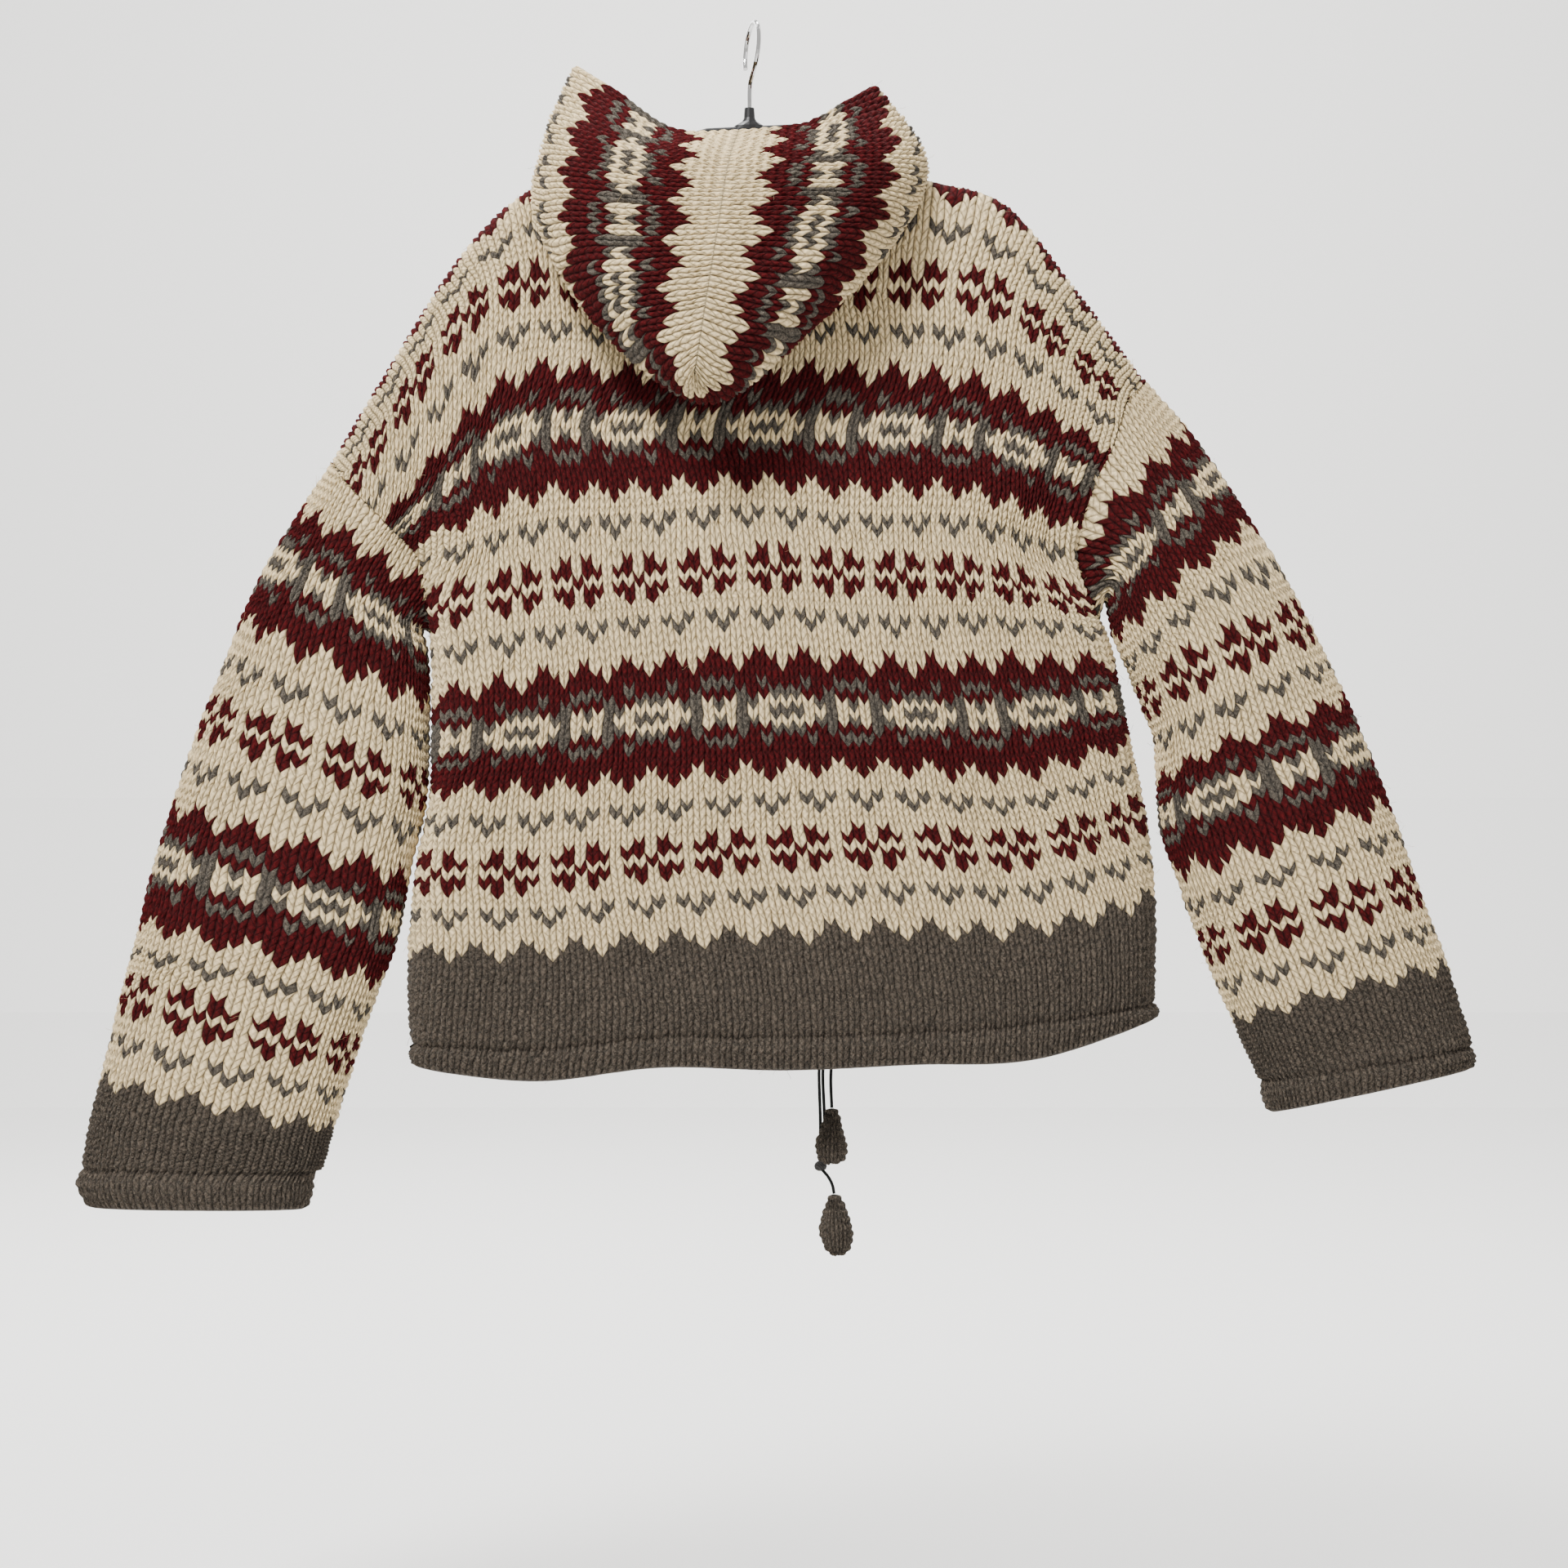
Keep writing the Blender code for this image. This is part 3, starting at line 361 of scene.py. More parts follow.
def sleeve_table(left, samples=193):
    """Rings of points down the sleeve: (rings, samples, 3)."""
    angle = np.linspace(0, 2 * math.pi, samples)
    rings = [armhole_ring(angle, left)]
    sections = SLEEVE_LEFT if left else SLEEVE_RIGHT
    last = len(sections) - 1
    for n, (ox, oz, ix, iz, half_depth) in enumerate(sections):
        mid = np.array([(ox + ix) / 2, 0, (oz + iz) / 2])
        arm = np.array([ox - ix, 0, oz - iz]) / 2
        half = np.linalg.norm(arm)
        wave = 2.2 * math.sin(2.1 * n + (0.6 if left else 2.0)) * (1 if 1 < n < last - 2 else 0)
        flat = np.sign(np.sin(angle)) * np.abs(np.sin(angle)) ** 0.8
        ring = mid - np.cos(angle)[:, None] * arm
        ring[:, 1] = -flat * half_depth - wave * np.sin(angle) ** 2 * np.cos(angle)
        rings.append(ring)
    steps = np.linspace(0, len(rings) - 1, (len(rings) - 1) * 6 + 1)
    return angle, steps, smooth(np.arange(len(rings)), np.array(rings), steps)


def sleeve_placer(left):
    angle, steps, table = sleeve_table(left)
    sections = SLEEVE_LEFT if left else SLEEVE_RIGHT
    marks = np.array(ROWS_LEFT if left else ROWS_RIGHT, float)
    outer_z = [-326 if left else -266] + [s[1] for s in sections]
    inner_z = [-446 if left else -437] + [s[3] for s in sections]
    outer_z = smooth(np.arange(len(outer_z)), np.array(outer_z, float), steps)
    inner_z = smooth(np.arange(len(inner_z)), np.array(inner_z, float), steps)
    outer_r = np.interp(-outer_z, -marks[:, 1], marks[:, 0])
    inner_r = np.interp(-inner_z, -marks[:, 2], marks[:, 0])
    share = (1 - np.cos(angle)) / 2
    row_of = inner_r[:, None] * (1 - share) + outer_r[:, None] * share
    # beside the armhole the rows keep their height and end where they meet the seam
    for n in range(6, -1, -1):
        row_of[n] = row_of[n + 1] + np.linalg.norm(table[n] - table[n + 1], axis=1) / SLEEVE_ROW
    row_of = np.minimum.accumulate(row_of, axis=0)
    places = np.linspace(-4, SLEEVE_TOP, 5 * (SLEEVE_TOP + 4) + 1)
    lookup = np.empty((len(places), len(angle)))
    for n in range(len(angle)):
        lookup[:, n] = np.interp(places, row_of[::-1, n], np.arange(len(steps))[::-1])

    def place(c, r):
        turn = np.mod(c / SLEEVE_COLUMNS, 1.0)
        turn = np.where((turn == 0) & (c > 0), 1.0, turn)
        col = turn * (len(angle) - 1)
        down = grid_read(lookup[..., None], (np.clip(r, -4, SLEEVE_TOP) + 4) * 5, col)[..., 0]
        return grid_read(table, down, col)

    return place


left_place, right_place = sleeve_placer(True), sleeve_placer(False)
print("left cuff at", left_place(np.array([24.0]), np.array([0.0])).round())


# %% [markdown]
# The hood stands on the neck seam, folds over behind, hangs down to a point and comes up
# again to the crown seam, as one wall of cloth. Its courses are given from the neck to the
# crown, each as nine points from the left rim to the right rim.

# %% Hood
HOOD_COURSES = [
    (0.30, ((-60, 19, -116), (-118, 10, -93), (-149, -20, -117), (-101, -40, -185),
            (-24, -45, -222), (51, -40, -180), (118, -20, -112), (96, 10, -91), (42, 19, -116))),
    (0.50, ((-133, -6, -34), (-154, -18, -88), (-157, -40, -155), (-108, -56, -238),
            (-30, -60, -287), (48, -56, -230), (105, -40, -165), (128, -18, -105), (92, -6, -48))),
    (0.65, ((-104, -24, -51), (-128, -54, -98), (-127, -74, -160), (-90, -80, -230),
            (-34, -78, -285), (25, -80, -231), (80, -74, -165), (102, -54, -110), (70, -24, -60))),
    (0.85, ((-54, -42, -87), (-68, -74, -114), (-71, -90, -165), (-62, -93, -226),
            (-39, -88, -279), (-9, -93, -228), (20, -90, -165), (35, -74, -115), (36, -42, -82))),
    (1.00, ((-10, -50, -89), (-17, -78, -118), (-24, -94, -165), (-33, -97, -221),
            (-41, -92, -271), (-33, -97, -221), (-24, -94, -165), (-17, -78, -118), (-10, -50, -89))),
]
HOOD_COLUMNS = 60
HOOD_TOP = 47
HOOD_ROW = 7.7          # mm between rows beside the crown seam
HOOD_EVEN = 22          # rows from the crown that keep this height


def neck_ring(t):
    """Outer points of the neck seam from the left of the zip round the back to its right."""
    zip_s = np.interp(TOP_ROW, [0, TOP_ROW], ZIP_S)
    gap = ZIP_SLOT / 560.0
    s_front_l = np.interp(t, [-1, -0.5], [zip_s - gap, NECK_S[0]])
    s_back = np.interp(t, [-0.5, 0.5], NECK_S)
    s_front_r = np.interp(t, [0.5, 1], [NECK_S[1], zip_s + gap])
    top = np.full(len(t), TOP_ROW)
    left = body_surface(s_front_l, top, 1)
    back = body_surface(s_back, top, -1)
    right = body_surface(s_front_r, top, 1)
    ring = np.where((t < -0.5)[:, None], left, np.where((t > 0.5)[:, None], right, back))
    return ring + np.array([0, 0, NECK_SEAM])


def hood_table(samples=241):
    t = np.linspace(-1, 1, samples)
    ring = neck_ring(t)
    outward = ring - np.array([-18.0, 2.0, 0.0])
    outward[:, 2] = 0
    rise = ring + unit(outward) * 0.5 + np.array([0, 0, 5.0])
    collar = ring + unit(outward) * 2.2 + np.array([0, 0, 10.5])
    stations = np.linspace(-1, 1, 9)
    courses = [(0.0, ring), (0.04, rise), (0.09, collar)]
    courses += [(v, smooth(stations, points, t)) for v, points in HOOD_COURSES]
    v = np.linspace(0, 1, 151)
    return smooth([c[0] for c in courses], np.array([c[1] for c in courses]), v)


HOOD_TABLE = hood_table()


def hood_rows():
    """For each column of the table, where along it each row of knitting lies."""
    far = np.linalg.norm(np.diff(HOOD_TABLE, axis=0), axis=-1)
    far = np.concatenate([np.zeros((1, far.shape[1])), np.cumsum(far, axis=0)])
    whole = far[-1]
    even = np.minimum(HOOD_ROW, whole * 0.62 / HOOD_EVEN) * HOOD_EVEN
    rows = np.linspace(0, HOOD_TOP, 4 * HOOD_TOP + 1)
    out = np.empty((len(rows), far.shape[1]))
    for n in range(far.shape[1]):
        at = np.interp(rows, [0, HOOD_TOP - HOOD_EVEN, HOOD_TOP],
                       [0, whole[n] - even[n], whole[n]])
        out[:, n] = np.interp(at, far[:, n], np.arange(far.shape[0]))
    return out


HOOD_LOOKUP = hood_rows()


def hood_place(c, r):
    col = np.clip(c / HOOD_COLUMNS, 0, 1) * (HOOD_TABLE.shape[1] - 1)
    down = grid_read(HOOD_LOOKUP[..., None], np.clip(r, 0, HOOD_TOP) * 4.0, col)[..., 0]
    return grid_read(HOOD_TABLE, down, col)


print("hood tip:", hood_place(np.array([30.0]), np.array([26.5])).round())

# %% [markdown]
# The pattern is charted as a knitter would: twelve stitches wide, thirty-one rows high.
# C is cream, R dark red, G heather grey and H the grey-brown of the hem and cuffs.

# %% The chart
BANDS = [
    "CRRRCRRRCRRR", "CCRCCCRCCCRC", "CCCCCCCCCCCC", "CCCCCCCCCCCC", "CCCGCCCGCCCG",
    "GCGCGCGCGCGC", "CCCCCCCCCCCC", "CCCCCCCCCCCC", "CRCRCCCRCRCC", "RRCRRCRRCRRC",
    "CCRCCCCCRCCC", "RRCRRCRRCRRC", "CRCRCCCRCRCC", "CCCCCCCCCCCC", "CCCCCCCCCCCC",
    "CCGCCCGCCCGC", "CGCGCGCGCGCG", "CCCCCCCCCCCC", "CCCCCCCCCCCC", "CCRCCCRCCCRC",
    "CRRRCRRRCRRR", "RRRRRRRRRRRR", "RRRRRRRRRRRR", "RGGGRRGRRRGR", "GRRRGRRGGGRR",
    "GCGCGGCCCCCG", "GCCCGCCGGGCC", "GCGCGGCCCCCG", "GRRRGRRGGGRR", "RGGGRRGRRRGR",
    "RRRRRRRRRRRR",
]
FIRST = {0: "HHHCHHHCHHHC", 1: "CHCCCHCCCHCC"}
HEM_ROWS = 11
YARNS = "CRGH"


def chart(c, r):
    """Number of the yarn of stitch c on row r."""
    if r < HEM_ROWS:
        return 3
    k = r - HEM_ROWS
    line = FIRST[k] if k in FIRST else BANDS[k % 31]
    return YARNS.index(line[c % 12])


def sleeve_chart(c, r):
    return 0 if r >= 75 else chart(c, r)


def hood_chart(c, r):
    if r >= 44:
        return 0
    return YARNS.index(BANDS[(r - HEM_ROWS) % 31][c % 12])


print("stitches in the repeat:", len(BANDS) * 12)


# %% [markdown]
# Wool is matt, scatters light at its edges and is never one flat colour: the dyed fibres vary,
# heather yarn has light and dark hairs, and each yarn is plied, which shows as fine slanting
# lines, bumped and with painted shade between the plies. Painted shade also darkens the
# grooves of each stitch. One node group gives all these to every yarn, each with its own amounts.

# %% Yarn materials
def new_group(name, inputs, outputs, kind_of_tree="ShaderNodeTree"):
    tree = bpy.data.node_groups.new(name, kind_of_tree)
    for label, kind, value in inputs:
        socket = tree.interface.new_socket(label, in_out="INPUT", socket_type=kind)
        if value is not None:
            socket.default_value = value
    for label, kind in outputs:
        tree.interface.new_socket(label, in_out="OUTPUT", socket_type=kind)
    return tree, tree.nodes.new("NodeGroupInput"), tree.nodes.new("NodeGroupOutput")


def put(tree, kind, **values):
    made = tree.nodes.new(kind)
    for key, value in values.items():
        if hasattr(made, key):
            setattr(made, key, value)
        else:
            made.inputs[key.replace("_", " ")].default_value = value
    return made


def feed(tree, socket, value):
    """Give a socket a plain value, or link another node's output to it."""
    if isinstance(value, (int, float, tuple)):
        socket.default_value = value
    else:
        tree.links.new(value, socket)


def math_node(tree, operation, *values):
    made = put(tree, "ShaderNodeMath", operation=operation)
    for n, value in enumerate(values):
        feed(tree, made.inputs[n], value)
    return made.outputs[0]


def mix_colour(tree, factor, a, b, blend="MIX"):
    made = put(tree, "ShaderNodeMix", data_type="RGBA", blend_type=blend)
    for n, value in ((0, factor), (6, a), (7, b)):
        feed(tree, made.inputs[n], value)
    return made.outputs[2]


def map_range(tree, value, **limits):
    made = put(tree, "ShaderNodeMapRange", clamp=True)
    tree.links.new(value, made.inputs["Value"])
    for key, limit in limits.items():
        feed(tree, made.inputs[key.replace("_", " ")], limit)
    return made.outputs[0]


def noise(tree, place, **amounts):
    made = put(tree, "ShaderNodeTexNoise", **amounts)
    tree.links.new(place.outputs["Object"], made.inputs["Vector"])
    return made.outputs["Fac"]


def grey_of(tree, value):
    made = put(tree, "ShaderNodeCombineColor")
    for n in range(3):
        tree.links.new(value, made.inputs[n])
    return made.outputs[0]


def new_material(name):
    made = bpy.data.materials.new(name)
    made.use_nodes = True
    return made, made.node_tree, made.node_tree.nodes["Principled BSDF"]


def bump_surface(tree, shader, height, strength, distance):
    bump = put(tree, "ShaderNodeBump", Strength=strength, Distance=distance)
    tree.links.new(height, bump.inputs["Height"])
    tree.links.new(bump.outputs["Normal"], shader.inputs["Normal"])


def yarn_group():
    """Colour and height of plied, slightly felted wool, from object coordinates and stitches."""
    tree, given, out = new_group("yarn_effect", [
        ("Colour", "NodeSocketColor", None), ("Hairs", "NodeSocketColor", None),
        ("Heather", "NodeSocketFloat", 0.2), ("Ply depth", "NodeSocketFloat", 0.5),
        ("Fleck low", "NodeSocketFloat", 0.9), ("Fleck high", "NodeSocketFloat", 1.1),
        ("Groove", "NodeSocketFloat", 0.24),
    ], [("Colour", "NodeSocketColor"), ("Height", "NodeSocketFloat"), ("Rough", "NodeSocketFloat")])
    links = tree.links
    place = put(tree, "ShaderNodeTexCoord")
    stitch = put(tree, "ShaderNodeUVMap", uv_map="Stitches")
    parts = put(tree, "ShaderNodeSeparateXYZ")
    links.new(stitch.outputs["UV"], parts.inputs[0])
    # the two legs of a stitch mirror each other about its middle
    whole = math_node(tree, "FRACT", parts.outputs["X"])
    leg = math_node(tree, "ABSOLUTE", math_node(tree, "SUBTRACT", whole, 0.5))
    slant = math_node(tree, "ADD", math_node(tree, "MULTIPLY", leg, 26.0),
                      math_node(tree, "MULTIPLY", parts.outputs["Y"], 7.0))
    wobble = noise(tree, place, Scale=420.0, Detail=2.0)
    slant = math_node(tree, "ADD", slant, math_node(tree, "MULTIPLY", wobble, 2.4))
    ply = math_node(tree, "MULTIPLY_ADD", math_node(tree, "SINE", slant), 0.5, 0.5)
    soft = noise(tree, place, Scale=900.0, Detail=6.0, Roughness=0.7)
    hair = noise(tree, place, Scale=1300.0, Detail=3.0, Roughness=0.8, Distortion=2.5)
    cloud = noise(tree, place, Scale=45.0, Detail=4.0)
    # painted shade: the grooves between wales, between legs and between rows are sunk in the height
    # and darkened in colour, as little light reaches them
    beside = math_node(tree, "ABSOLUTE", math_node(tree, "SUBTRACT", leg, 0.25))
    edge = math_node(tree, "POWER", math_node(tree, "MULTIPLY", beside, 4.0), 2.6)
    row_part = math_node(tree, "FRACT", parts.outputs["Y"])
    from_middle = math_node(tree, "MULTIPLY", math_node(tree, "SUBTRACT", row_part, 0.5), 2.0)
    ends = math_node(tree, "POWER", math_node(tree, "ABSOLUTE", from_middle), 4.0)
    edge = math_node(tree, "MAXIMUM", edge, math_node(tree, "MULTIPLY", ends, 0.8))
    groove = map_range(tree, edge, To_Min=1.0, To_Max=given.outputs["Groove"])
    # dye clouds, then painted shade: darker lines between the plies and darker grooves
    shade = math_node(tree, "MULTIPLY_ADD", cloud, 0.34, 0.83)
    ply_shade = math_node(tree, "MULTIPLY_ADD", ply, 0.2, 0.86)
    shade = math_node(tree, "MULTIPLY", math_node(tree, "MULTIPLY", shade, ply_shade), groove)
    mottle = map_range(tree, soft, From_Min=0.35, From_Max=0.65, To_Min=0.76, To_Max=1.12)
    shade = math_node(tree, "MULTIPLY", shade, mottle)
    # light and dark fibres are spun together, in streaks a few millimetres long
    streak = noise(tree, place, Scale=360.0, Detail=4.0, Roughness=0.75, Distortion=1.2)
    fleck = map_range(tree, streak, From_Min=0.43, From_Max=0.58,
                      To_Min=given.outputs["Fleck low"], To_Max=given.outputs["Fleck high"])
    shade = math_node(tree, "MULTIPLY", shade, fleck)
    tinted = mix_colour(tree, 1.0, given.outputs["Colour"], grey_of(tree, shade), "MULTIPLY")
    # last come the hairs of another shade
    some = map_range(tree, hair, From_Min=0.52, From_Max=0.6)
    amount = math_node(tree, "MULTIPLY", some, given.outputs["Heather"])
    links.new(mix_colour(tree, amount, tinted, given.outputs["Hairs"]), out.inputs["Colour"])
    height = math_node(tree, "ADD", math_node(tree, "MULTIPLY", ply, given.outputs["Ply depth"]),
                       math_node(tree, "MULTIPLY", soft, 0.6))
    height = math_node(tree, "ADD", height, math_node(tree, "MULTIPLY", hair, 0.4))
    height = math_node(tree, "SUBTRACT", height, math_node(tree, "MULTIPLY", edge, 1.6))
    links.new(height, out.inputs["Height"])
    links.new(math_node(tree, "MULTIPLY_ADD", soft, 0.16, 0.84), out.inputs["Rough"])
    return tree


YARN_EFFECT = yarn_group()


def linear(*levels):
    """A colour given in sRGB levels from 0 to 255, as Blender's linear values."""
    shares = [v / 255.0 for v in levels]
    return tuple(v / 12.92 if v <= 0.04045 else ((v + 0.055) / 1.055) ** 2.4
                 for v in shares) + (1.0,)


def yarn_material(name, colour, hairs, heather, sheen_tint, fleck, groove):
    made, tree, shader = new_material(name)
    effect = put(tree, "ShaderNodeGroup", node_tree=YARN_EFFECT)
    for key, value in (("Colour", colour), ("Hairs", hairs), ("Heather", heather),
                       ("Ply depth", 1.0), ("Fleck low", fleck[0]), ("Fleck high", fleck[1]),
                       ("Groove", groove)):
        effect.inputs[key].default_value = value
    tree.links.new(effect.outputs["Colour"], shader.inputs["Base Color"])
    tree.links.new(effect.outputs["Rough"], shader.inputs["Roughness"])
    bump_surface(tree, shader, effect.outputs["Height"], 0.75, 0.0009)
    for key, value in (("Sheen Weight", 0.06), ("Sheen Roughness", 0.55),
                       ("Sheen Tint", sheen_tint), ("Specular IOR Level", 0.2)):
        shader.inputs[key].default_value = value
    made.diffuse_color = colour
    return made


# the last number of each yarn is the colour left in its deepest grooves by the painted shade
YARN_MATERIALS = [
    yarn_material("wool_cream", linear(254, 228, 178), linear(200, 170, 120), 0.22,
                  (1.0, 0.95, 0.85, 1), (0.93, 1.06), 0.18),
    yarn_material("wool_dark_red", linear(76, 4, 9), linear(30, 3, 5), 0.35,
                  (0.5, 0.05, 0.05, 1), (0.68, 1.25), 0.18),
    yarn_material("wool_heather_grey", linear(72, 65, 57), linear(176, 166, 150), 0.4,
                  (0.7, 0.7, 0.7, 1), (0.3, 1.8), 0.1),
    yarn_material("wool_taupe", linear(62, 54, 46), linear(160, 148, 132), 0.42,
                  (0.7, 0.65, 0.6, 1), (0.25, 2.0), 0.05),
]
print("yarns:", [m.name for m in YARN_MATERIALS])


# %% [markdown]
# A stockinette stitch is a V. Stacked on each other, Vs fill the cloth without gaps, so the
# cloth is one grid whose rows zigzag: low in the middle of a stitch and high at its sides.
# Six columns and two rows a stitch are enough for two plump legs, and each stitch takes the
# yarn that the chart gives, so a colour always ends exactly at a stitch.

# %% Knit builder
LEG = np.array([-1.3, 0.6, 0.8, -0.75, 0.8, 0.6])
V_RISE = 0.95
RELIEF = 1.3
OFF_PLACE = (0.07, 0.11)    # how far a stitch sits off its wale and its row
LEAST_CELL = 0.12           # mm2; smaller cells, beside a seam's corner, are left out
LEAST_PURL = 0.5            # mm2, the same for the inside
RIM_BULGE = 0.32
HEM_RELIEF = [(-4, 1.0), (-3, 2.6), (-1.6, 2.8), (-0.6, 0.6), (0, -2.4), (0.7, 0.4), (2, 0.0)]


def cell_areas(points):
    """Area of each cell of a grid of points, mm2."""
    one = points[1:, 1:] - points[:-1, :-1]
    two = points[1:, :-1] - points[:-1, 1:]
    return np.linalg.norm(np.cross(one, two), axis=-1) / 2


def outward_normals(points):
    across = np.gradient(points, axis=1)
    along = np.gradient(points, axis=0)
    return unit(np.cross(across, along))


def knit(name, place, columns, rows, yarn_of, turn=1, wall=WALL, rims="ab", relief=RELIEF,
         wobble=0.25, seed=1, border_high=-0.4):
    """A wall of stockinette: stitches outside, a plain purl side inside, rims between."""
    c0, c1 = columns
    r0, r1 = rows
    across, up = (c1 - c0) * 6, (r1 - r0) * 2
    i = np.arange(across + 1)
    j = np.arange(up + 1)
    c = np.tile(c0 + i / 6.0, (up + 1, 1))
    level = np.tile((r0 + j / 2.0)[:, None], (1, across + 1))
    vee = np.abs(2 * np.mod(c, 1.0) - 1)
    r = np.clip(level + V_RISE * (vee - 0.5), r0, r1)
    r = np.where(level == r0, r0, np.where(level == r1, r1, r))
    rng = np.random.default_rng(seed)
    loose = rng.normal(0, 1, (r1 - r0 + 2, c1 - c0 + 2, 2))
    at_row, at_col = np.mod(j // 2, r1 - r0 + 2), i // 6
    jitter = loose[at_row[:, None], at_col[None, :]]
    # hand knitting is uneven: each stitch sits a little off its place
    uneven = grid_read(loose, level - r0, c - c0)
    inside = np.clip(np.minimum(c - c0, c1 - c) / 1.5, 0, 1)
    inside_rows = np.clip(np.minimum(r - r0, r1 - r), 0, 1)
    points = place(c + OFF_PLACE[0] * uneven[..., 0] * inside,
                   r + OFF_PLACE[1] * uneven[..., 1] * inside * inside_rows)
    normals = outward_normals(points) * turn
    crest = np.where(j % 2 == 1, 1.0, -0.75)[:, None]
    legs = LEG[i % 6][None, :]
    high = relief * (0.65 * crest + 0.85 * legs) + wobble * jitter[..., 0] * (legs > 0)
    border = (r <= r0) | (r >= r1)
    high = np.where(border, border_high, high)
    if r0 < 0:
        high = high + np.interp(r, [q[0] for q in HEM_RELIEF], [q[1] for q in HEM_RELIEF])
    outer = points + normals * high[..., None]
    mesh_points = [outer.reshape(-1, 3)]
    faces, slots, uvs = [], [], []
    n = across + 1
    keep = cell_areas(points) > LEAST_CELL
    table = np.array([[yarn_of(int(cc), int(rr)) for cc in range(c0, c1)] for rr in range(r0, r1)])

    def add_face(quad, slot, corner):
        faces.append(quad if turn > 0 else quad[::-1])
        slots.append(int(slot))
        uvs.extend(corner if turn > 0 else corner[::-1])

    for jj in range(up):
        for ii in np.nonzero(keep[jj])[0]:
            a = jj * n + ii
            add_face((a, a + 1, a + 1 + n, a + n), table[jj // 2, ii // 6],
                     ((c[jj, ii], level[jj, ii]), (c[jj, ii + 1], level[jj, ii]),
                      (c[jj, ii + 1], level[jj + 1, ii]), (c[jj, ii], level[jj + 1, ii])))
    base = outer.shape[0] * outer.shape[1]
    # the inside: one face for each stitch
    ci = np.arange(c0, c1 + 1, dtype=float)
    ri = np.arange(r0, r1 + 0.5, 1.0)
    cc, rr = np.meshgrid(ci, ri)
    flat = place(cc, rr)
    flat_normals = outward_normals(flat) * turn
    inner = flat - flat_normals * wall
    mesh_points.append(inner.reshape(-1, 3))
    m = len(ci)
    for jj, ii in np.argwhere(cell_areas(flat) > LEAST_PURL):
        a = base + jj * m + ii
        add_face((a, a + m, a + m + 1, a + 1), table[jj, ii],
                 ((cc[jj, ii], rr[jj, ii]), (cc[jj, ii], rr[jj + 1, ii]),
                  (cc[jj, ii + 1], rr[jj + 1, ii]), (cc[jj, ii + 1], rr[jj, ii])))
    base += inner.shape[0] * inner.shape[1]
    # rolled rims: a = first row, b = last row, l and r = the sides
    sides = {"a": (outer[0], points[0] - normals[0] * wall, 0),
             "b": (outer[-1], points[-1] - normals[-1] * wall, 1),
             "l": (outer[:, 0], points[:, 0] - normals[:, 0] * wall, 2),
             "r": (outer[:, -1], points[:, -1] - normals[:, -1] * wall, 3)}
    outward = {"a": points[0] - points[2], "b": points[-1] - points[-3],
               "l": points[:, 0] - points[:, 3], "r": points[:, -1] - points[:, -4]}
    for key in rims:
        top, bottom, side = sides[key]
        push = unit(outward[key])
        steps = []
        for f in (0.0, 0.3, 0.7, 1.0):
            bulge = wall * RIM_BULGE * math.sin(math.pi * f)
            steps.append(top * (1 - f) + bottom * f + push * bulge)
        strip = np.array(steps)
        mesh_points.append(strip.reshape(-1, 3))
        count = strip.shape[1]
        for k in range(3):
            for q in range(count - 1):
                a = base + k * count + q
                if np.linalg.norm(strip[k, q + 1] - strip[k, q]) < 0.02:
                    continue
                quad = (a, a + count, a + count + 1, a + 1)
                if key in "ar":
                    quad = quad[::-1]
                flip = turn < 0
                faces.append(quad[::-1] if (key in "lr") != flip else quad)
                if key in "ab":
                    slots.append(int(table[0 if key == "a" else -1, min(q // 6, c1 - c0 - 1)]))
                else:
                    slots.append(int(table[min(q // 2, r1 - r0 - 1), 0 if key == "l" else -1]))
                uvs.extend(((q / 6, k / 3), (q / 6, (k + 1) / 3), ((q + 1) / 6, (k + 1) / 3),
                            ((q + 1) / 6, k / 3)))
        base += strip.shape[0] * strip.shape[1]
    mesh = bpy.data.meshes.new(name)
    mesh.from_pydata((np.concatenate(mesh_points) / 1000.0).tolist(), [], faces)
    mesh.polygons.foreach_set("material_index", slots)
    mesh.polygons.foreach_set("use_smooth", [True] * len(faces))
    layer = mesh.uv_layers.new(name="Stitches")
    layer.data.foreach_set("uv", np.array(uvs, float).ravel())
    for made in YARN_MATERIALS:
        mesh.materials.append(made)
    mesh.update()
    piece = add_object(name, mesh)
    shape = bmesh.new()
    shape.from_mesh(mesh)
    bmesh.ops.delete(shape, geom=[v for v in shape.verts if not v.link_faces], context="VERTS")
    shape.to_mesh(mesh)
    shape.free()
    print("%s: %d stitches, %d faces" % (name, (c1 - c0) * (r1 - r0), len(mesh.polygons)))
    return piece


# %% [markdown]
# The back is one panel and the fronts are two. They share their side lines and shoulder line,
# so their stitches meet there.

# %% Body panels
back = knit("knit_back", back_place, (-16, 71), (-4, 94), chart, rims="ab", seed=3)
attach(back, "garment")
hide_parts("back_panel")

front_left = knit("knit_front_left", lambda c, r: front_place(c, r, True), (-16, 32), (-4, 94),
                  chart, turn=-1, rims="abr", seed=4)
front_right = knit("knit_front_right", lambda c, r: front_place(c, r, False), (33, 80), (-4, 94),
                   chart, turn=-1, rims="abl", seed=5)
for piece, node in ((front_left, "front_panel_left"), (front_right, "front_panel_right")):
    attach(piece, "garment")
    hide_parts(node)

# %% Sleeves, knitted round
sleeve_left = knit("knit_sleeve_left", left_place, (0, SLEEVE_COLUMNS), (-4, SLEEVE_TOP),
                   sleeve_chart, turn=-1, rims="a", seed=6)
sleeve_right = knit("knit_sleeve_right", right_place, (0, SLEEVE_COLUMNS), (-4, SLEEVE_TOP),
                    sleeve_chart, turn=1, rims="a", seed=7)
for piece, node in ((sleeve_left, "sleeve_left"), (sleeve_right, "sleeve_right")):
    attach(piece, "garment")
    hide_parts(node)

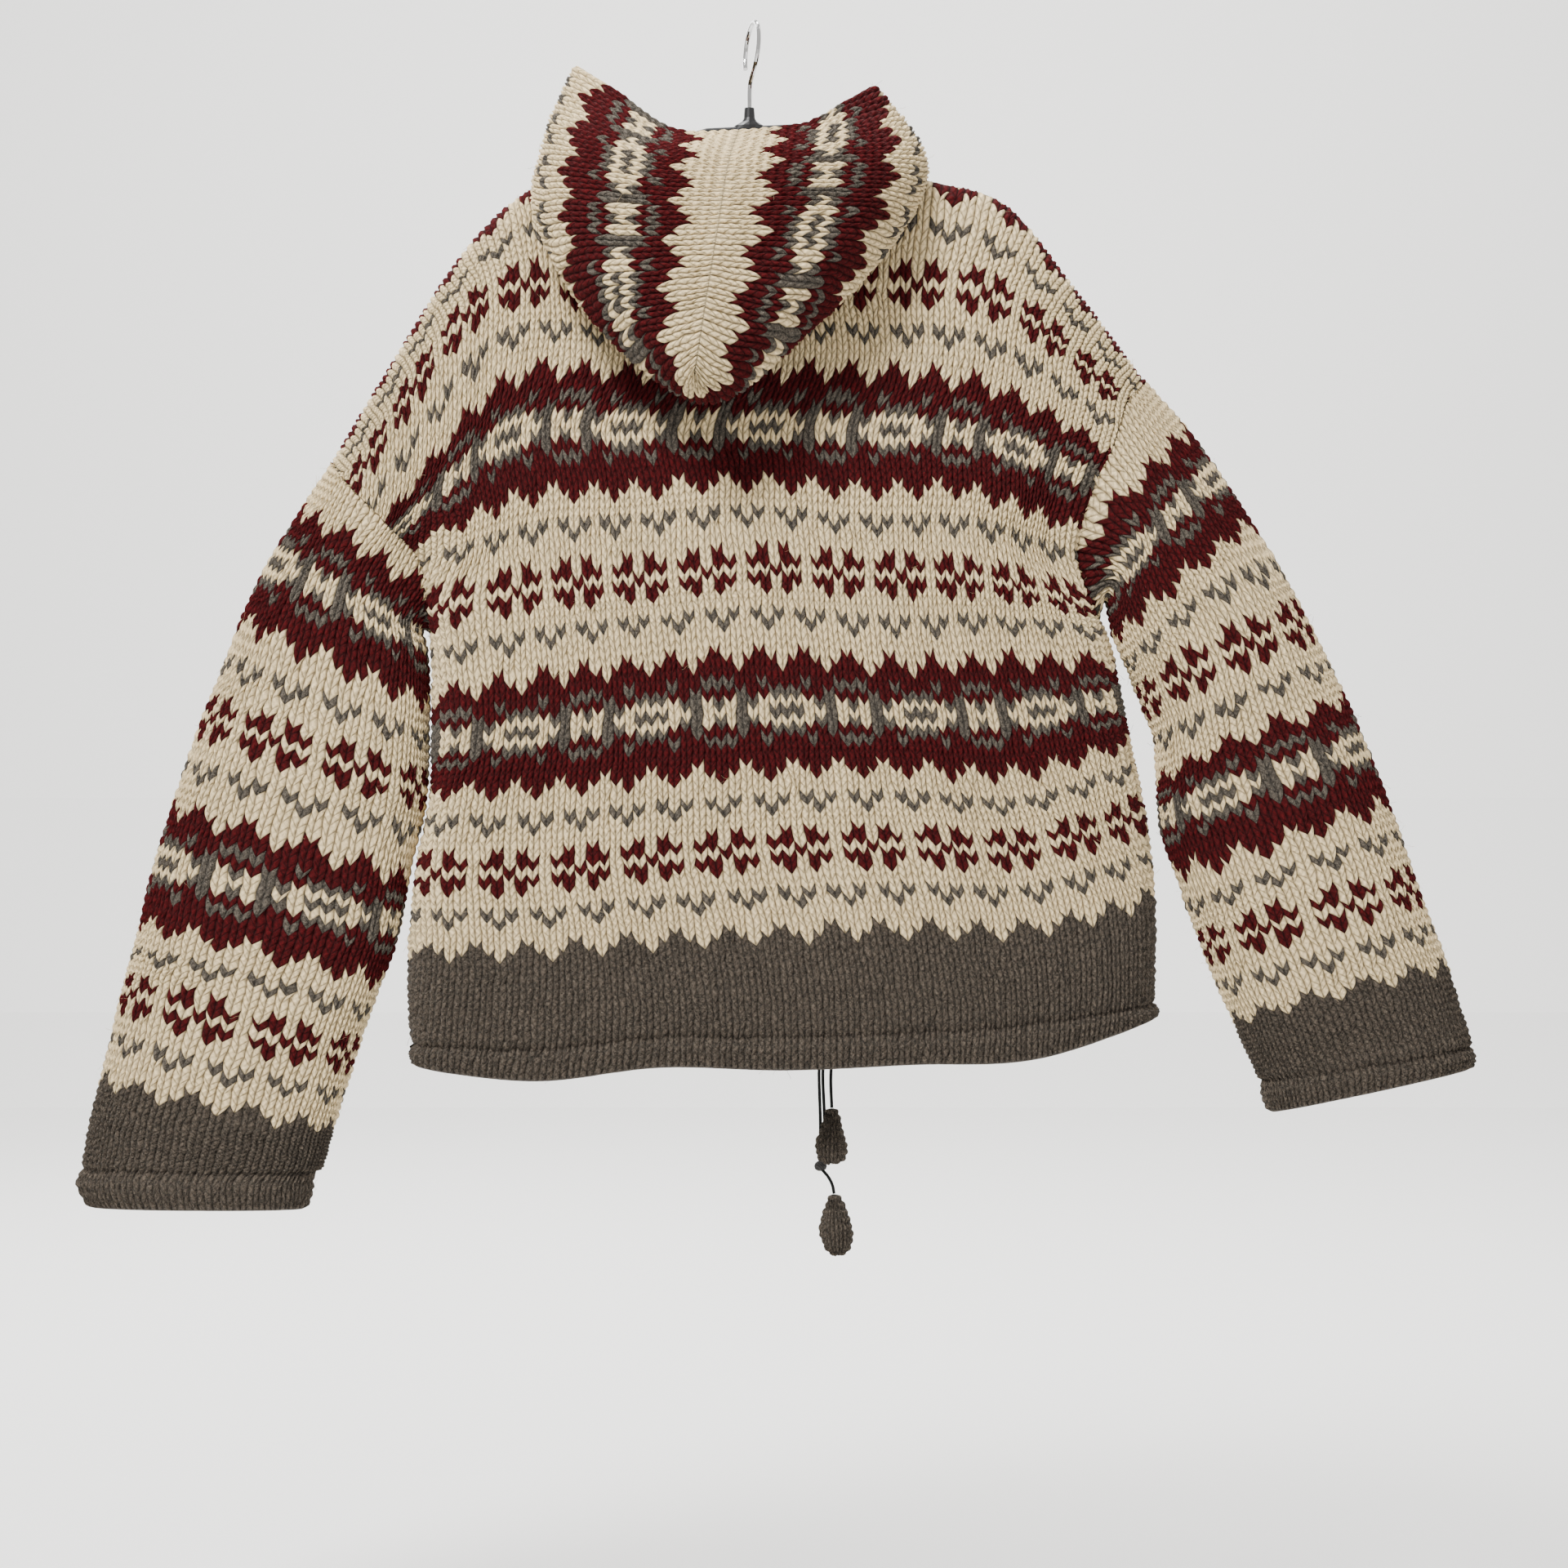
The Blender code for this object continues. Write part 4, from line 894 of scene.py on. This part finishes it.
# %% Hood, knitted up from the neck
hood = knit("knit_hood", hood_place, (0, HOOD_COLUMNS), (0, HOOD_TOP), hood_chart, turn=1,
            rims="lr", seed=8, border_high=0.5)
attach(hood, "garment")
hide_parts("hood")

# %% [markdown]
# The tassels are tiny knitted teardrops. They use the same stitches on a turned shape, whose
# profile is a short list of heights and radii.

# %% Tassels
def turned_place(top, profile, lean, columns, rows):
    """A turned teardrop, leaning sideways, for stitches running down from its top."""
    heights = np.array([p[0] for p in profile], float)
    radii = np.array([p[1] for p in profile], float)
    steps = np.linspace(0, 1, 121)
    line = smooth(np.linspace(0, 1, len(profile)), np.stack([heights, radii], 1), steps)
    far = np.concatenate([[0], np.cumsum(np.linalg.norm(np.diff(line, axis=0), axis=1))])

    def place(c, r):
        at = np.interp(1 - r / rows, steps, np.linspace(0, far[-1], 121))
        z = np.interp(at, far, line[:, 0])
        radius = np.interp(at, far, line[:, 1])
        turn = 2 * math.pi * c / columns
        return np.stack([top[0] + lean * z + radius * np.cos(turn),
                         top[1] + radius * 0.8 * np.sin(turn), top[2] + z], -1)

    return place


UPPER = [(0, 1.9), (-3, 3.6), (-10, 5.3), (-18, 7.9), (-25, 10.3), (-30, 11.2), (-35, 10.6),
         (-39, 7.6), (-41, 2.2)]
LOWER = [(0, 1.9), (-3, 3.6), (-9, 6.0), (-16, 8.8), (-24, 11.0), (-31, 11.6), (-38, 9.8),
         (-43, 6.2), (-45.5, 2.0)]
tassels = {}
for name, top, shape, lean in (("tassel_upper", (58.8, 24.2, -809.2), UPPER, 0.006),
                               ("tassel_lower", (60.7, 26.4, -874.2), LOWER, -0.06)):
    tassel = knit("knit_" + name, turned_place(top, shape, lean, 11, 9), (0, 11), (0, 9),
                  lambda c, r: 3, turn=1, rims="ab", relief=1.25, wobble=0.5, wall=1.4,
                  border_high=0.0, seed=9)
    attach(tassel, "garment")
    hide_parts(name)
    tassels[name] = tassel

# %% [markdown]
# The elastic cord is braided over rubber: two sets of fine threads cross at a slant. The
# braid is a bump made from the tube's own turn and length, and painted shade darkens the hollows
# between the threads.

# %% Cords
def braid_material():
    made, tree, shader = new_material("braided_cord")
    coords = put(tree, "ShaderNodeUVMap", uv_map="Braid")
    parts = put(tree, "ShaderNodeSeparateXYZ")
    tree.links.new(coords.outputs["UV"], parts.inputs[0])
    around = math_node(tree, "MULTIPLY", parts.outputs["X"], 2 * math.pi * 4)
    along = math_node(tree, "MULTIPLY", parts.outputs["Y"], 2 * math.pi * 0.9)
    one = math_node(tree, "SINE", math_node(tree, "ADD", around, along))
    two = math_node(tree, "SINE", math_node(tree, "SUBTRACT", around, along))
    weave = math_node(tree, "MAXIMUM", one, two)
    bump_surface(tree, shader, weave, 0.8, 0.00025)
    # painted shade: the colour is darker where the braid's threads dip and lighter on their crowns
    shade = map_range(tree, weave, From_Min=-1.0, To_Min=0.004, To_Max=0.014)
    tree.links.new(grey_of(tree, shade), shader.inputs["Base Color"])
    shader.inputs["Roughness"].default_value = 0.85
    shader.inputs["Specular IOR Level"].default_value = 0.12
    made.diffuse_color = (0.02, 0.02, 0.02, 1)
    return made


BRAID = braid_material()
CORD_R = 1.2


def tube(name, line, radius, made, sides=10, layer_name="Braid"):
    """Closed tube along points in mm, with a turn and length UV in mm."""
    line = np.array(line, float)
    far = np.concatenate([[0], np.cumsum(np.linalg.norm(np.diff(line, axis=0), axis=1))])
    ahead = unit(np.gradient(line, axis=0))
    side = unit(np.cross(ahead, np.array([0.0, 1.0, 0.02])))
    up = np.cross(side, ahead)
    angle = np.linspace(0, 2 * math.pi, sides, endpoint=False)
    rings = [line[n] + radius * (np.cos(angle)[:, None] * side[n] + np.sin(angle)[:, None] * up[n])
             for n in range(len(line))]
    points = np.concatenate(rings + [line[:1], line[-1:]]) / 1000.0
    faces, uvs = [], []
    for n in range(len(line) - 1):
        for k in range(sides):
            a, b = n * sides + k, n * sides + (k + 1) % sides
            faces.append((a, a + sides, b + sides, b))
            u0, u1 = k / sides, (k + 1) / sides
            uvs += [(u0, far[n]), (u0, far[n + 1]), (u1, far[n + 1]), (u1, far[n])]
    first, last = len(line) * sides, len(line) * sides + 1
    for k in range(sides):
        b = (k + 1) % sides
        faces.append((first, k, b))
        faces.append((last, last - 1 - sides + b, last - 1 - sides + k))
        uvs += [(0, 0)] * 6
    mesh = bpy.data.meshes.new(name)
    mesh.from_pydata(points.tolist(), [], faces)
    mesh.uv_layers.new(name=layer_name).data.foreach_set("uv", np.array(uvs, float).ravel())
    mesh.polygons.foreach_set("use_smooth", [True] * len(faces))
    mesh.materials.append(made)
    check = bmesh.new()
    check.from_mesh(mesh)
    bmesh.ops.recalc_face_normals(check, faces=check.faces)
    check.to_mesh(mesh)
    check.free()
    return add_object(name, mesh)


def curve_line(points, steps=40):
    knots = np.linspace(0, 1, len(points))
    return smooth(knots, np.array(points, float), np.linspace(0, 1, steps))


def run(line):
    return float(np.linalg.norm(np.diff(line, axis=0), axis=1).sum()) / 1000.0


# the left cord runs on through the knot to the lower tassel
CORDS = {
    "drawcord_left": [(49.6, 26.0, -776), (49.2, 27.0, -786), (50.2, 33.5, -817),
                      (50.4, 36.5, -838), (50.0, 34.5, -849.5), (51.3, 33.3, -855.5),
                      (56.0, 29.2, -861), (59.2, 27.3, -867), (60.5, 26.5, -873.6)],
    "drawcord_left_second": [(52.3, 27.5, -776.2), (52.2, 29.8, -790), (53.4, 36.0, -817),
                             (53.4, 38.9, -838), (51.6, 36.7, -849.2)],
    "drawcord_right": [(58.4, 25.0, -775.9), (58.0, 24.6, -790), (58.8, 24.2, -808.6)],
}
CORD_ENDS = {
    "drawcord_left": ("fitting", ["drawcord_knot", tassels["tassel_lower"]],
                      ["drawcord_left", "drawcord_lower"]),
    "drawcord_left_second": ("knot", [], ["drawcord_left_second"]),
    "drawcord_right": ("fitting", [tassels["tassel_upper"]], ["drawcord_right"]),
}
for name, points in CORDS.items():
    end, on_it, nodes = CORD_ENDS[name]
    line = curve_line(points, 60)
    piece = tube("braided_" + name, line, CORD_R, BRAID)
    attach(piece, "garment")
    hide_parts(*nodes)
    print(name, "is", round(run(line) * 1000, 1), "mm long")

# %% [markdown]
# The zip's teeth are many and all alike, so Geometry Nodes sets them along the chain's middle
# line: one tooth is made once, turned left and right in turn, and copied to even steps.

# %% Zip teeth
def chain_line():
    """Middle line of the plain chain bar, from its own points."""
    body = bpy.data.objects["zip_chain"]
    points = np.array([(body.matrix_world @ v.co)[:] for v in body.data.vertices])
    order = np.linspace(points[:, 2].min(), points[:, 2].max(), 60)
    line = []
    for low, high in zip(order[:-1], order[1:]):
        near = points[(points[:, 2] >= low - 0.004) & (points[:, 2] <= high + 0.004)]
        if len(near):
            line.append(((near[:, 0].max() + near[:, 0].min()) / 2,
                         (near[:, 1].max() + near[:, 1].min()) / 2, (low + high) / 2))
    return line


def metal_material(name, colour, rough, metal=1.0, grain=320.0):
    made, tree, shader = new_material(name)
    worn = noise(tree, put(tree, "ShaderNodeTexCoord"), Scale=grain, Detail=5.0)
    shade = map_range(tree, worn, To_Min=rough * 0.7, To_Max=rough * 1.4)
    tree.links.new(shade, shader.inputs["Roughness"])
    darker = tuple(v * 0.75 for v in colour[:3]) + (1.0,)
    tree.links.new(mix_colour(tree, worn, colour, darker), shader.inputs["Base Color"])
    bump_surface(tree, shader, worn, 0.15, 0.0002)
    shader.inputs["Metallic"].default_value = metal
    made.diffuse_color = colour
    return made


NICKEL = metal_material("dull_nickel", (0.46, 0.43, 0.39, 1), 0.36)
CHROME = metal_material("plated_wire", (0.78, 0.78, 0.78, 1), 0.12, grain=150.0)
PLASTIC = metal_material("black_plastic", (0.012, 0.012, 0.013, 1), 0.32, metal=0.0, grain=60.0)


def tooth_mesh():
    shape = bmesh.new()
    bmesh.ops.create_cube(shape, size=1.0)
    for v in shape.verts:
        v.co.x *= 3.4
        v.co.y *= 3.0
        v.co.z *= 1.5 if v.co.x < 0 else 0.9
    bmesh.ops.bevel(shape, geom=shape.edges[:], offset=0.3, segments=1, affect="EDGES")
    for v in shape.verts:
        v.co = v.co / 1000.0
    mesh = bpy.data.meshes.new("tooth")
    shape.to_mesh(mesh)
    shape.free()
    return add_object("one_tooth", mesh)


def teeth_tree():
    tree, given, out = new_group("teeth_along_line", [
        ("Geometry", "NodeSocketGeometry", None), ("Tooth", "NodeSocketObject", None),
        ("Pitch", "NodeSocketFloat", None), ("Metal", "NodeSocketMaterial", None),
    ], [("Geometry", "NodeSocketGeometry")], "GeometryNodeTree")
    link = tree.links.new
    even = tree.nodes.new("GeometryNodeResampleCurve")
    even.mode = "LENGTH"
    link(given.outputs["Geometry"], even.inputs["Curve"])
    link(given.outputs["Pitch"], even.inputs["Length"])
    info = tree.nodes.new("GeometryNodeObjectInfo")
    link(given.outputs["Tooth"], info.inputs["Object"])
    index = tree.nodes.new("GeometryNodeInputIndex")
    odd = math_node(tree, "MODULO", index.outputs[0], 2.0)
    turn = tree.nodes.new("ShaderNodeCombineXYZ")
    link(math_node(tree, "MULTIPLY", odd, math.pi), turn.inputs["Z"])
    shift = tree.nodes.new("ShaderNodeCombineXYZ")
    link(math_node(tree, "MULTIPLY", math_node(tree, "SUBTRACT", odd, 0.5), 0.0019),
         shift.inputs["X"])
    copies = tree.nodes.new("GeometryNodeInstanceOnPoints")
    link(even.outputs[0], copies.inputs["Points"])
    link(info.outputs["Geometry"], copies.inputs["Instance"])
    link(turn.outputs[0], copies.inputs["Rotation"])
    moved = tree.nodes.new("GeometryNodeTranslateInstances")
    link(copies.outputs[0], moved.inputs["Instances"])
    link(shift.outputs[0], moved.inputs["Translation"])
    real = tree.nodes.new("GeometryNodeRealizeInstances")
    link(moved.outputs[0], real.inputs[0])
    paint = tree.nodes.new("GeometryNodeSetMaterial")
    link(real.outputs[0], paint.inputs["Geometry"])
    link(given.outputs["Metal"], paint.inputs["Material"])
    link(paint.outputs[0], out.inputs[0])
    return tree


def set_input(modifier, tree, name, value):
    for item in tree.interface.items_tree:
        if item.in_out == "INPUT" and item.name == name:
            modifier[item.identifier] = value


def plain_mesh(piece, name):
    """A finished mesh from an object with a node modifier, in its place."""
    deps = bpy.context.evaluated_depsgraph_get()
    mesh = bpy.data.meshes.new_from_object(piece.evaluated_get(deps))
    made = add_object(name, mesh)
    bpy.data.objects.remove(piece)
    return made


chain_points = chain_line()
curve = bpy.data.curves.new("chain_line", "CURVE")
curve.dimensions = "3D"
spline = curve.splines.new("POLY")
spline.points.add(len(chain_points) - 1)
for point, place_at in zip(spline.points, chain_points):
    point.co = (*place_at, 1)
chain = add_object("chain_line", curve)
tooth = tooth_mesh()
tree = teeth_tree()
modifier = chain.modifiers.new("teeth", "NODES")
modifier.node_group = tree
set_input(modifier, tree, "Tooth", tooth)
set_input(modifier, tree, "Pitch", 0.0013)
set_input(modifier, tree, "Metal", NICKEL)
teeth = plain_mesh(chain, "zip_teeth")
bpy.data.objects.remove(tooth)
teeth.data.polygons.foreach_set("use_smooth", [True] * len(teeth.data.polygons))
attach(teeth, "garment")
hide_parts("zip_chain")
print("teeth faces:", len(teeth.data.polygons))

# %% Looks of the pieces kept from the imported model
def tape_material():
    made, tree, shader = new_material("woven_tape")
    place = put(tree, "ShaderNodeTexCoord")
    weave = put(tree, "ShaderNodeTexWave", wave_type="BANDS", bands_direction="DIAGONAL",
                Scale=260.0, Distortion=0.6)
    tree.links.new(place.outputs["Object"], weave.inputs["Vector"])
    bump_surface(tree, shader, weave.outputs["Fac"], 0.5, 0.0003)
    # painted shade: the tape is darker in the hollows of its weave and lighter on the raised bands,
    # following the bump
    weave_shade = mix_colour(tree, weave.outputs["Fac"], (0.016, 0.015, 0.014, 1), (0.045, 0.042, 0.04, 1))
    tree.links.new(weave_shade, shader.inputs["Base Color"])
    shader.inputs["Roughness"].default_value = 0.9
    return made


def dress(node, made):
    body = bpy.data.objects[node]
    body.data.materials.clear()
    body.data.materials.append(made)


TAPE = tape_material()
LOOKS = {"zip_tape_left": TAPE, "zip_tape_right": TAPE, "zip_slider": NICKEL, "zip_pull": NICKEL,
         "hanger": PLASTIC, "hanger_hook": CHROME, "drawcord_knot": TAPE}
for node, made in LOOKS.items():
    dress(node, made)

# %% [markdown]
# Worn wool carries stray fibres. They are scattered over each yarn of a knitted piece by
# Geometry Nodes: short bent hairs that lean along the surface and stand off it at the edges.

# %% Stray fibres
def fibre_tree():
    tree, given, out = new_group("stray_fibres", [
        ("Geometry", "NodeSocketGeometry", None), ("Fibre", "NodeSocketObject", None),
        ("Yarn", "NodeSocketMaterial", None), ("Density", "NodeSocketFloat", None),
        ("Seed", "NodeSocketInt", None),
    ], [("Geometry", "NodeSocketGeometry")], "GeometryNodeTree")
    link = tree.links.new
    yarn = tree.nodes.new("GeometryNodeMaterialSelection")
    link(given.outputs["Yarn"], yarn.inputs["Material"])
    spread = tree.nodes.new("GeometryNodeDistributePointsOnFaces")
    link(given.outputs["Geometry"], spread.inputs["Mesh"])
    link(yarn.outputs[0], spread.inputs["Selection"])
    link(given.outputs["Density"], spread.inputs["Density"])
    link(given.outputs["Seed"], spread.inputs["Seed"])
    info = tree.nodes.new("GeometryNodeObjectInfo")
    link(given.outputs["Fibre"], info.inputs["Object"])
    copies = tree.nodes.new("GeometryNodeInstanceOnPoints")
    link(spread.outputs["Points"], copies.inputs["Points"])
    link(info.outputs["Geometry"], copies.inputs["Instance"])
    link(spread.outputs["Rotation"], copies.inputs["Rotation"])
    chance = tree.nodes.new("FunctionNodeRandomValue")
    chance.data_type = "FLOAT_VECTOR"
    chance.inputs[0].default_value = (-0.5, -0.5, -3.14)
    chance.inputs[1].default_value = (0.5, 0.5, 3.14)
    turned = tree.nodes.new("GeometryNodeRotateInstances")
    link(copies.outputs[0], turned.inputs["Instances"])
    link(chance.outputs[0], turned.inputs["Rotation"])
    size = tree.nodes.new("FunctionNodeRandomValue")
    size.inputs[2].default_value = 0.5
    size.inputs[3].default_value = 1.3
    scaled = tree.nodes.new("GeometryNodeScaleInstances")
    link(turned.outputs[0], scaled.inputs["Instances"])
    link(size.outputs[1], scaled.inputs["Scale"])
    real = tree.nodes.new("GeometryNodeRealizeInstances")
    link(scaled.outputs[0], real.inputs[0])
    paint = tree.nodes.new("GeometryNodeSetMaterial")
    link(real.outputs[0], paint.inputs["Geometry"])
    link(given.outputs["Yarn"], paint.inputs["Material"])
    link(paint.outputs[0], out.inputs[0])
    return tree


FIBRES = fibre_tree()
FIBRE_LINE = [(0, 0, -0.4), (1.2, 0.2, 1.0), (2.9, 0.1, 1.9), (4.8, 0.5, 2.0), (6.4, 0.2, 2.9)]
FIBRE_R = 0.085
FIBRES_PER_M2 = 2100


def stray_fibres(piece, count_per_m2, seed):
    """All stray fibres of a knitted piece as one mesh."""
    parts = []
    for k, made in enumerate(YARN_MATERIALS):
        hair = tube("one_fibre", FIBRE_LINE, FIBRE_R, made, sides=3, layer_name="Stitches")
        base = piece.copy()
        base.data = piece.data.copy()
        bpy.context.scene.collection.objects.link(base)
        modifier = base.modifiers.new("fibres", "NODES")
        modifier.node_group = FIBRES
        set_input(modifier, FIBRES, "Fibre", hair)
        set_input(modifier, FIBRES, "Yarn", made)
        set_input(modifier, FIBRES, "Density", count_per_m2 * (1.0 if k == 0 else 0.8))
        set_input(modifier, FIBRES, "Seed", seed + k)
        parts.append(plain_mesh(base, "fibre_part"))
        bpy.data.objects.remove(hair)
    gathered = bmesh.new()
    for k, part in enumerate(parts):
        first = len(gathered.faces)
        gathered.from_mesh(part.data)
        gathered.faces.ensure_lookup_table()
        for face in gathered.faces[first:]:
            face.material_index = k
    mesh = bpy.data.meshes.new("stray_fibres")
    gathered.to_mesh(mesh)
    gathered.free()
    for made in YARN_MATERIALS:
        mesh.materials.append(made)
    for part in parts:
        bpy.data.objects.remove(part)
    return add_object("fibres_" + piece.name.replace("knit_", ""), mesh)


for number, piece in enumerate((back, front_left, front_right, sleeve_left, sleeve_right, hood)):
    fuzz = stray_fibres(piece, FIBRES_PER_M2, 20 + 7 * number)
    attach(fuzz, "garment")
    print(fuzz.name, "faces:", len(fuzz.data.polygons))

# %% [markdown]
# A plain pale floor and soft light from large lamps, as in a small studio.

# %% Stage and light
def pale(name, shade):
    made, _, shader = new_material(name)
    shader.inputs["Base Color"].default_value = shade
    shader.inputs["Roughness"].default_value = 0.9
    return made


floor_mesh = bpy.data.meshes.new("floor")
floor_profile = [(-6, -1.25), (4.2, -1.25), (4.9, -1.1), (5.4, -0.6), (5.6, 0.2), (5.6, 6.0)]
floor_points = [(x, y, z) for y, z in floor_profile for x in (-8, 8)]
floor_faces = [(2 * k, 2 * k + 1, 2 * k + 3, 2 * k + 2) for k in range(len(floor_profile) - 1)]
floor_mesh.from_pydata(floor_points, [], floor_faces)
floor_mesh.materials.append(pale("pale_floor", (0.86, 0.855, 0.84, 1)))
floor = add_object("floor", floor_mesh)

world = bpy.data.worlds.new("studio")
world.use_nodes = True
world.node_tree.nodes["Background"].inputs[0].default_value = (1.0, 0.985, 0.96, 1)
world.node_tree.nodes["Background"].inputs[1].default_value = 0.75
bpy.context.scene.world = world
LAMPS = [
    ("key_lamp", (-0.9, -1.5, 1.7), (0, 0, -0.5), 0.8, 128),
    ("fill_lamp", (2.2, -2.0, 0.4), (0, 0, -0.5), 1.6, 14),
    ("front_lamp", (-1.2, 2.6, 0.9), (0, 0, -0.5), 1.6, 26),
    ("backdrop_lamp", (0.0, 1.2, 2.6), (0, 5.4, -0.4), 3.0, 420),
]
for name, place_at, aim_at, size, power in LAMPS:
    data = bpy.data.lights.new(name, "AREA")
    data.size = size
    data.energy = power
    lamp = add_object(name, data)
    lamp.location = place_at
    aim = Vector(aim_at) - Vector(place_at)
    lamp.rotation_euler = aim.to_track_quat("-Z", "Y").to_euler()
print("lamps:", len(LAMPS))
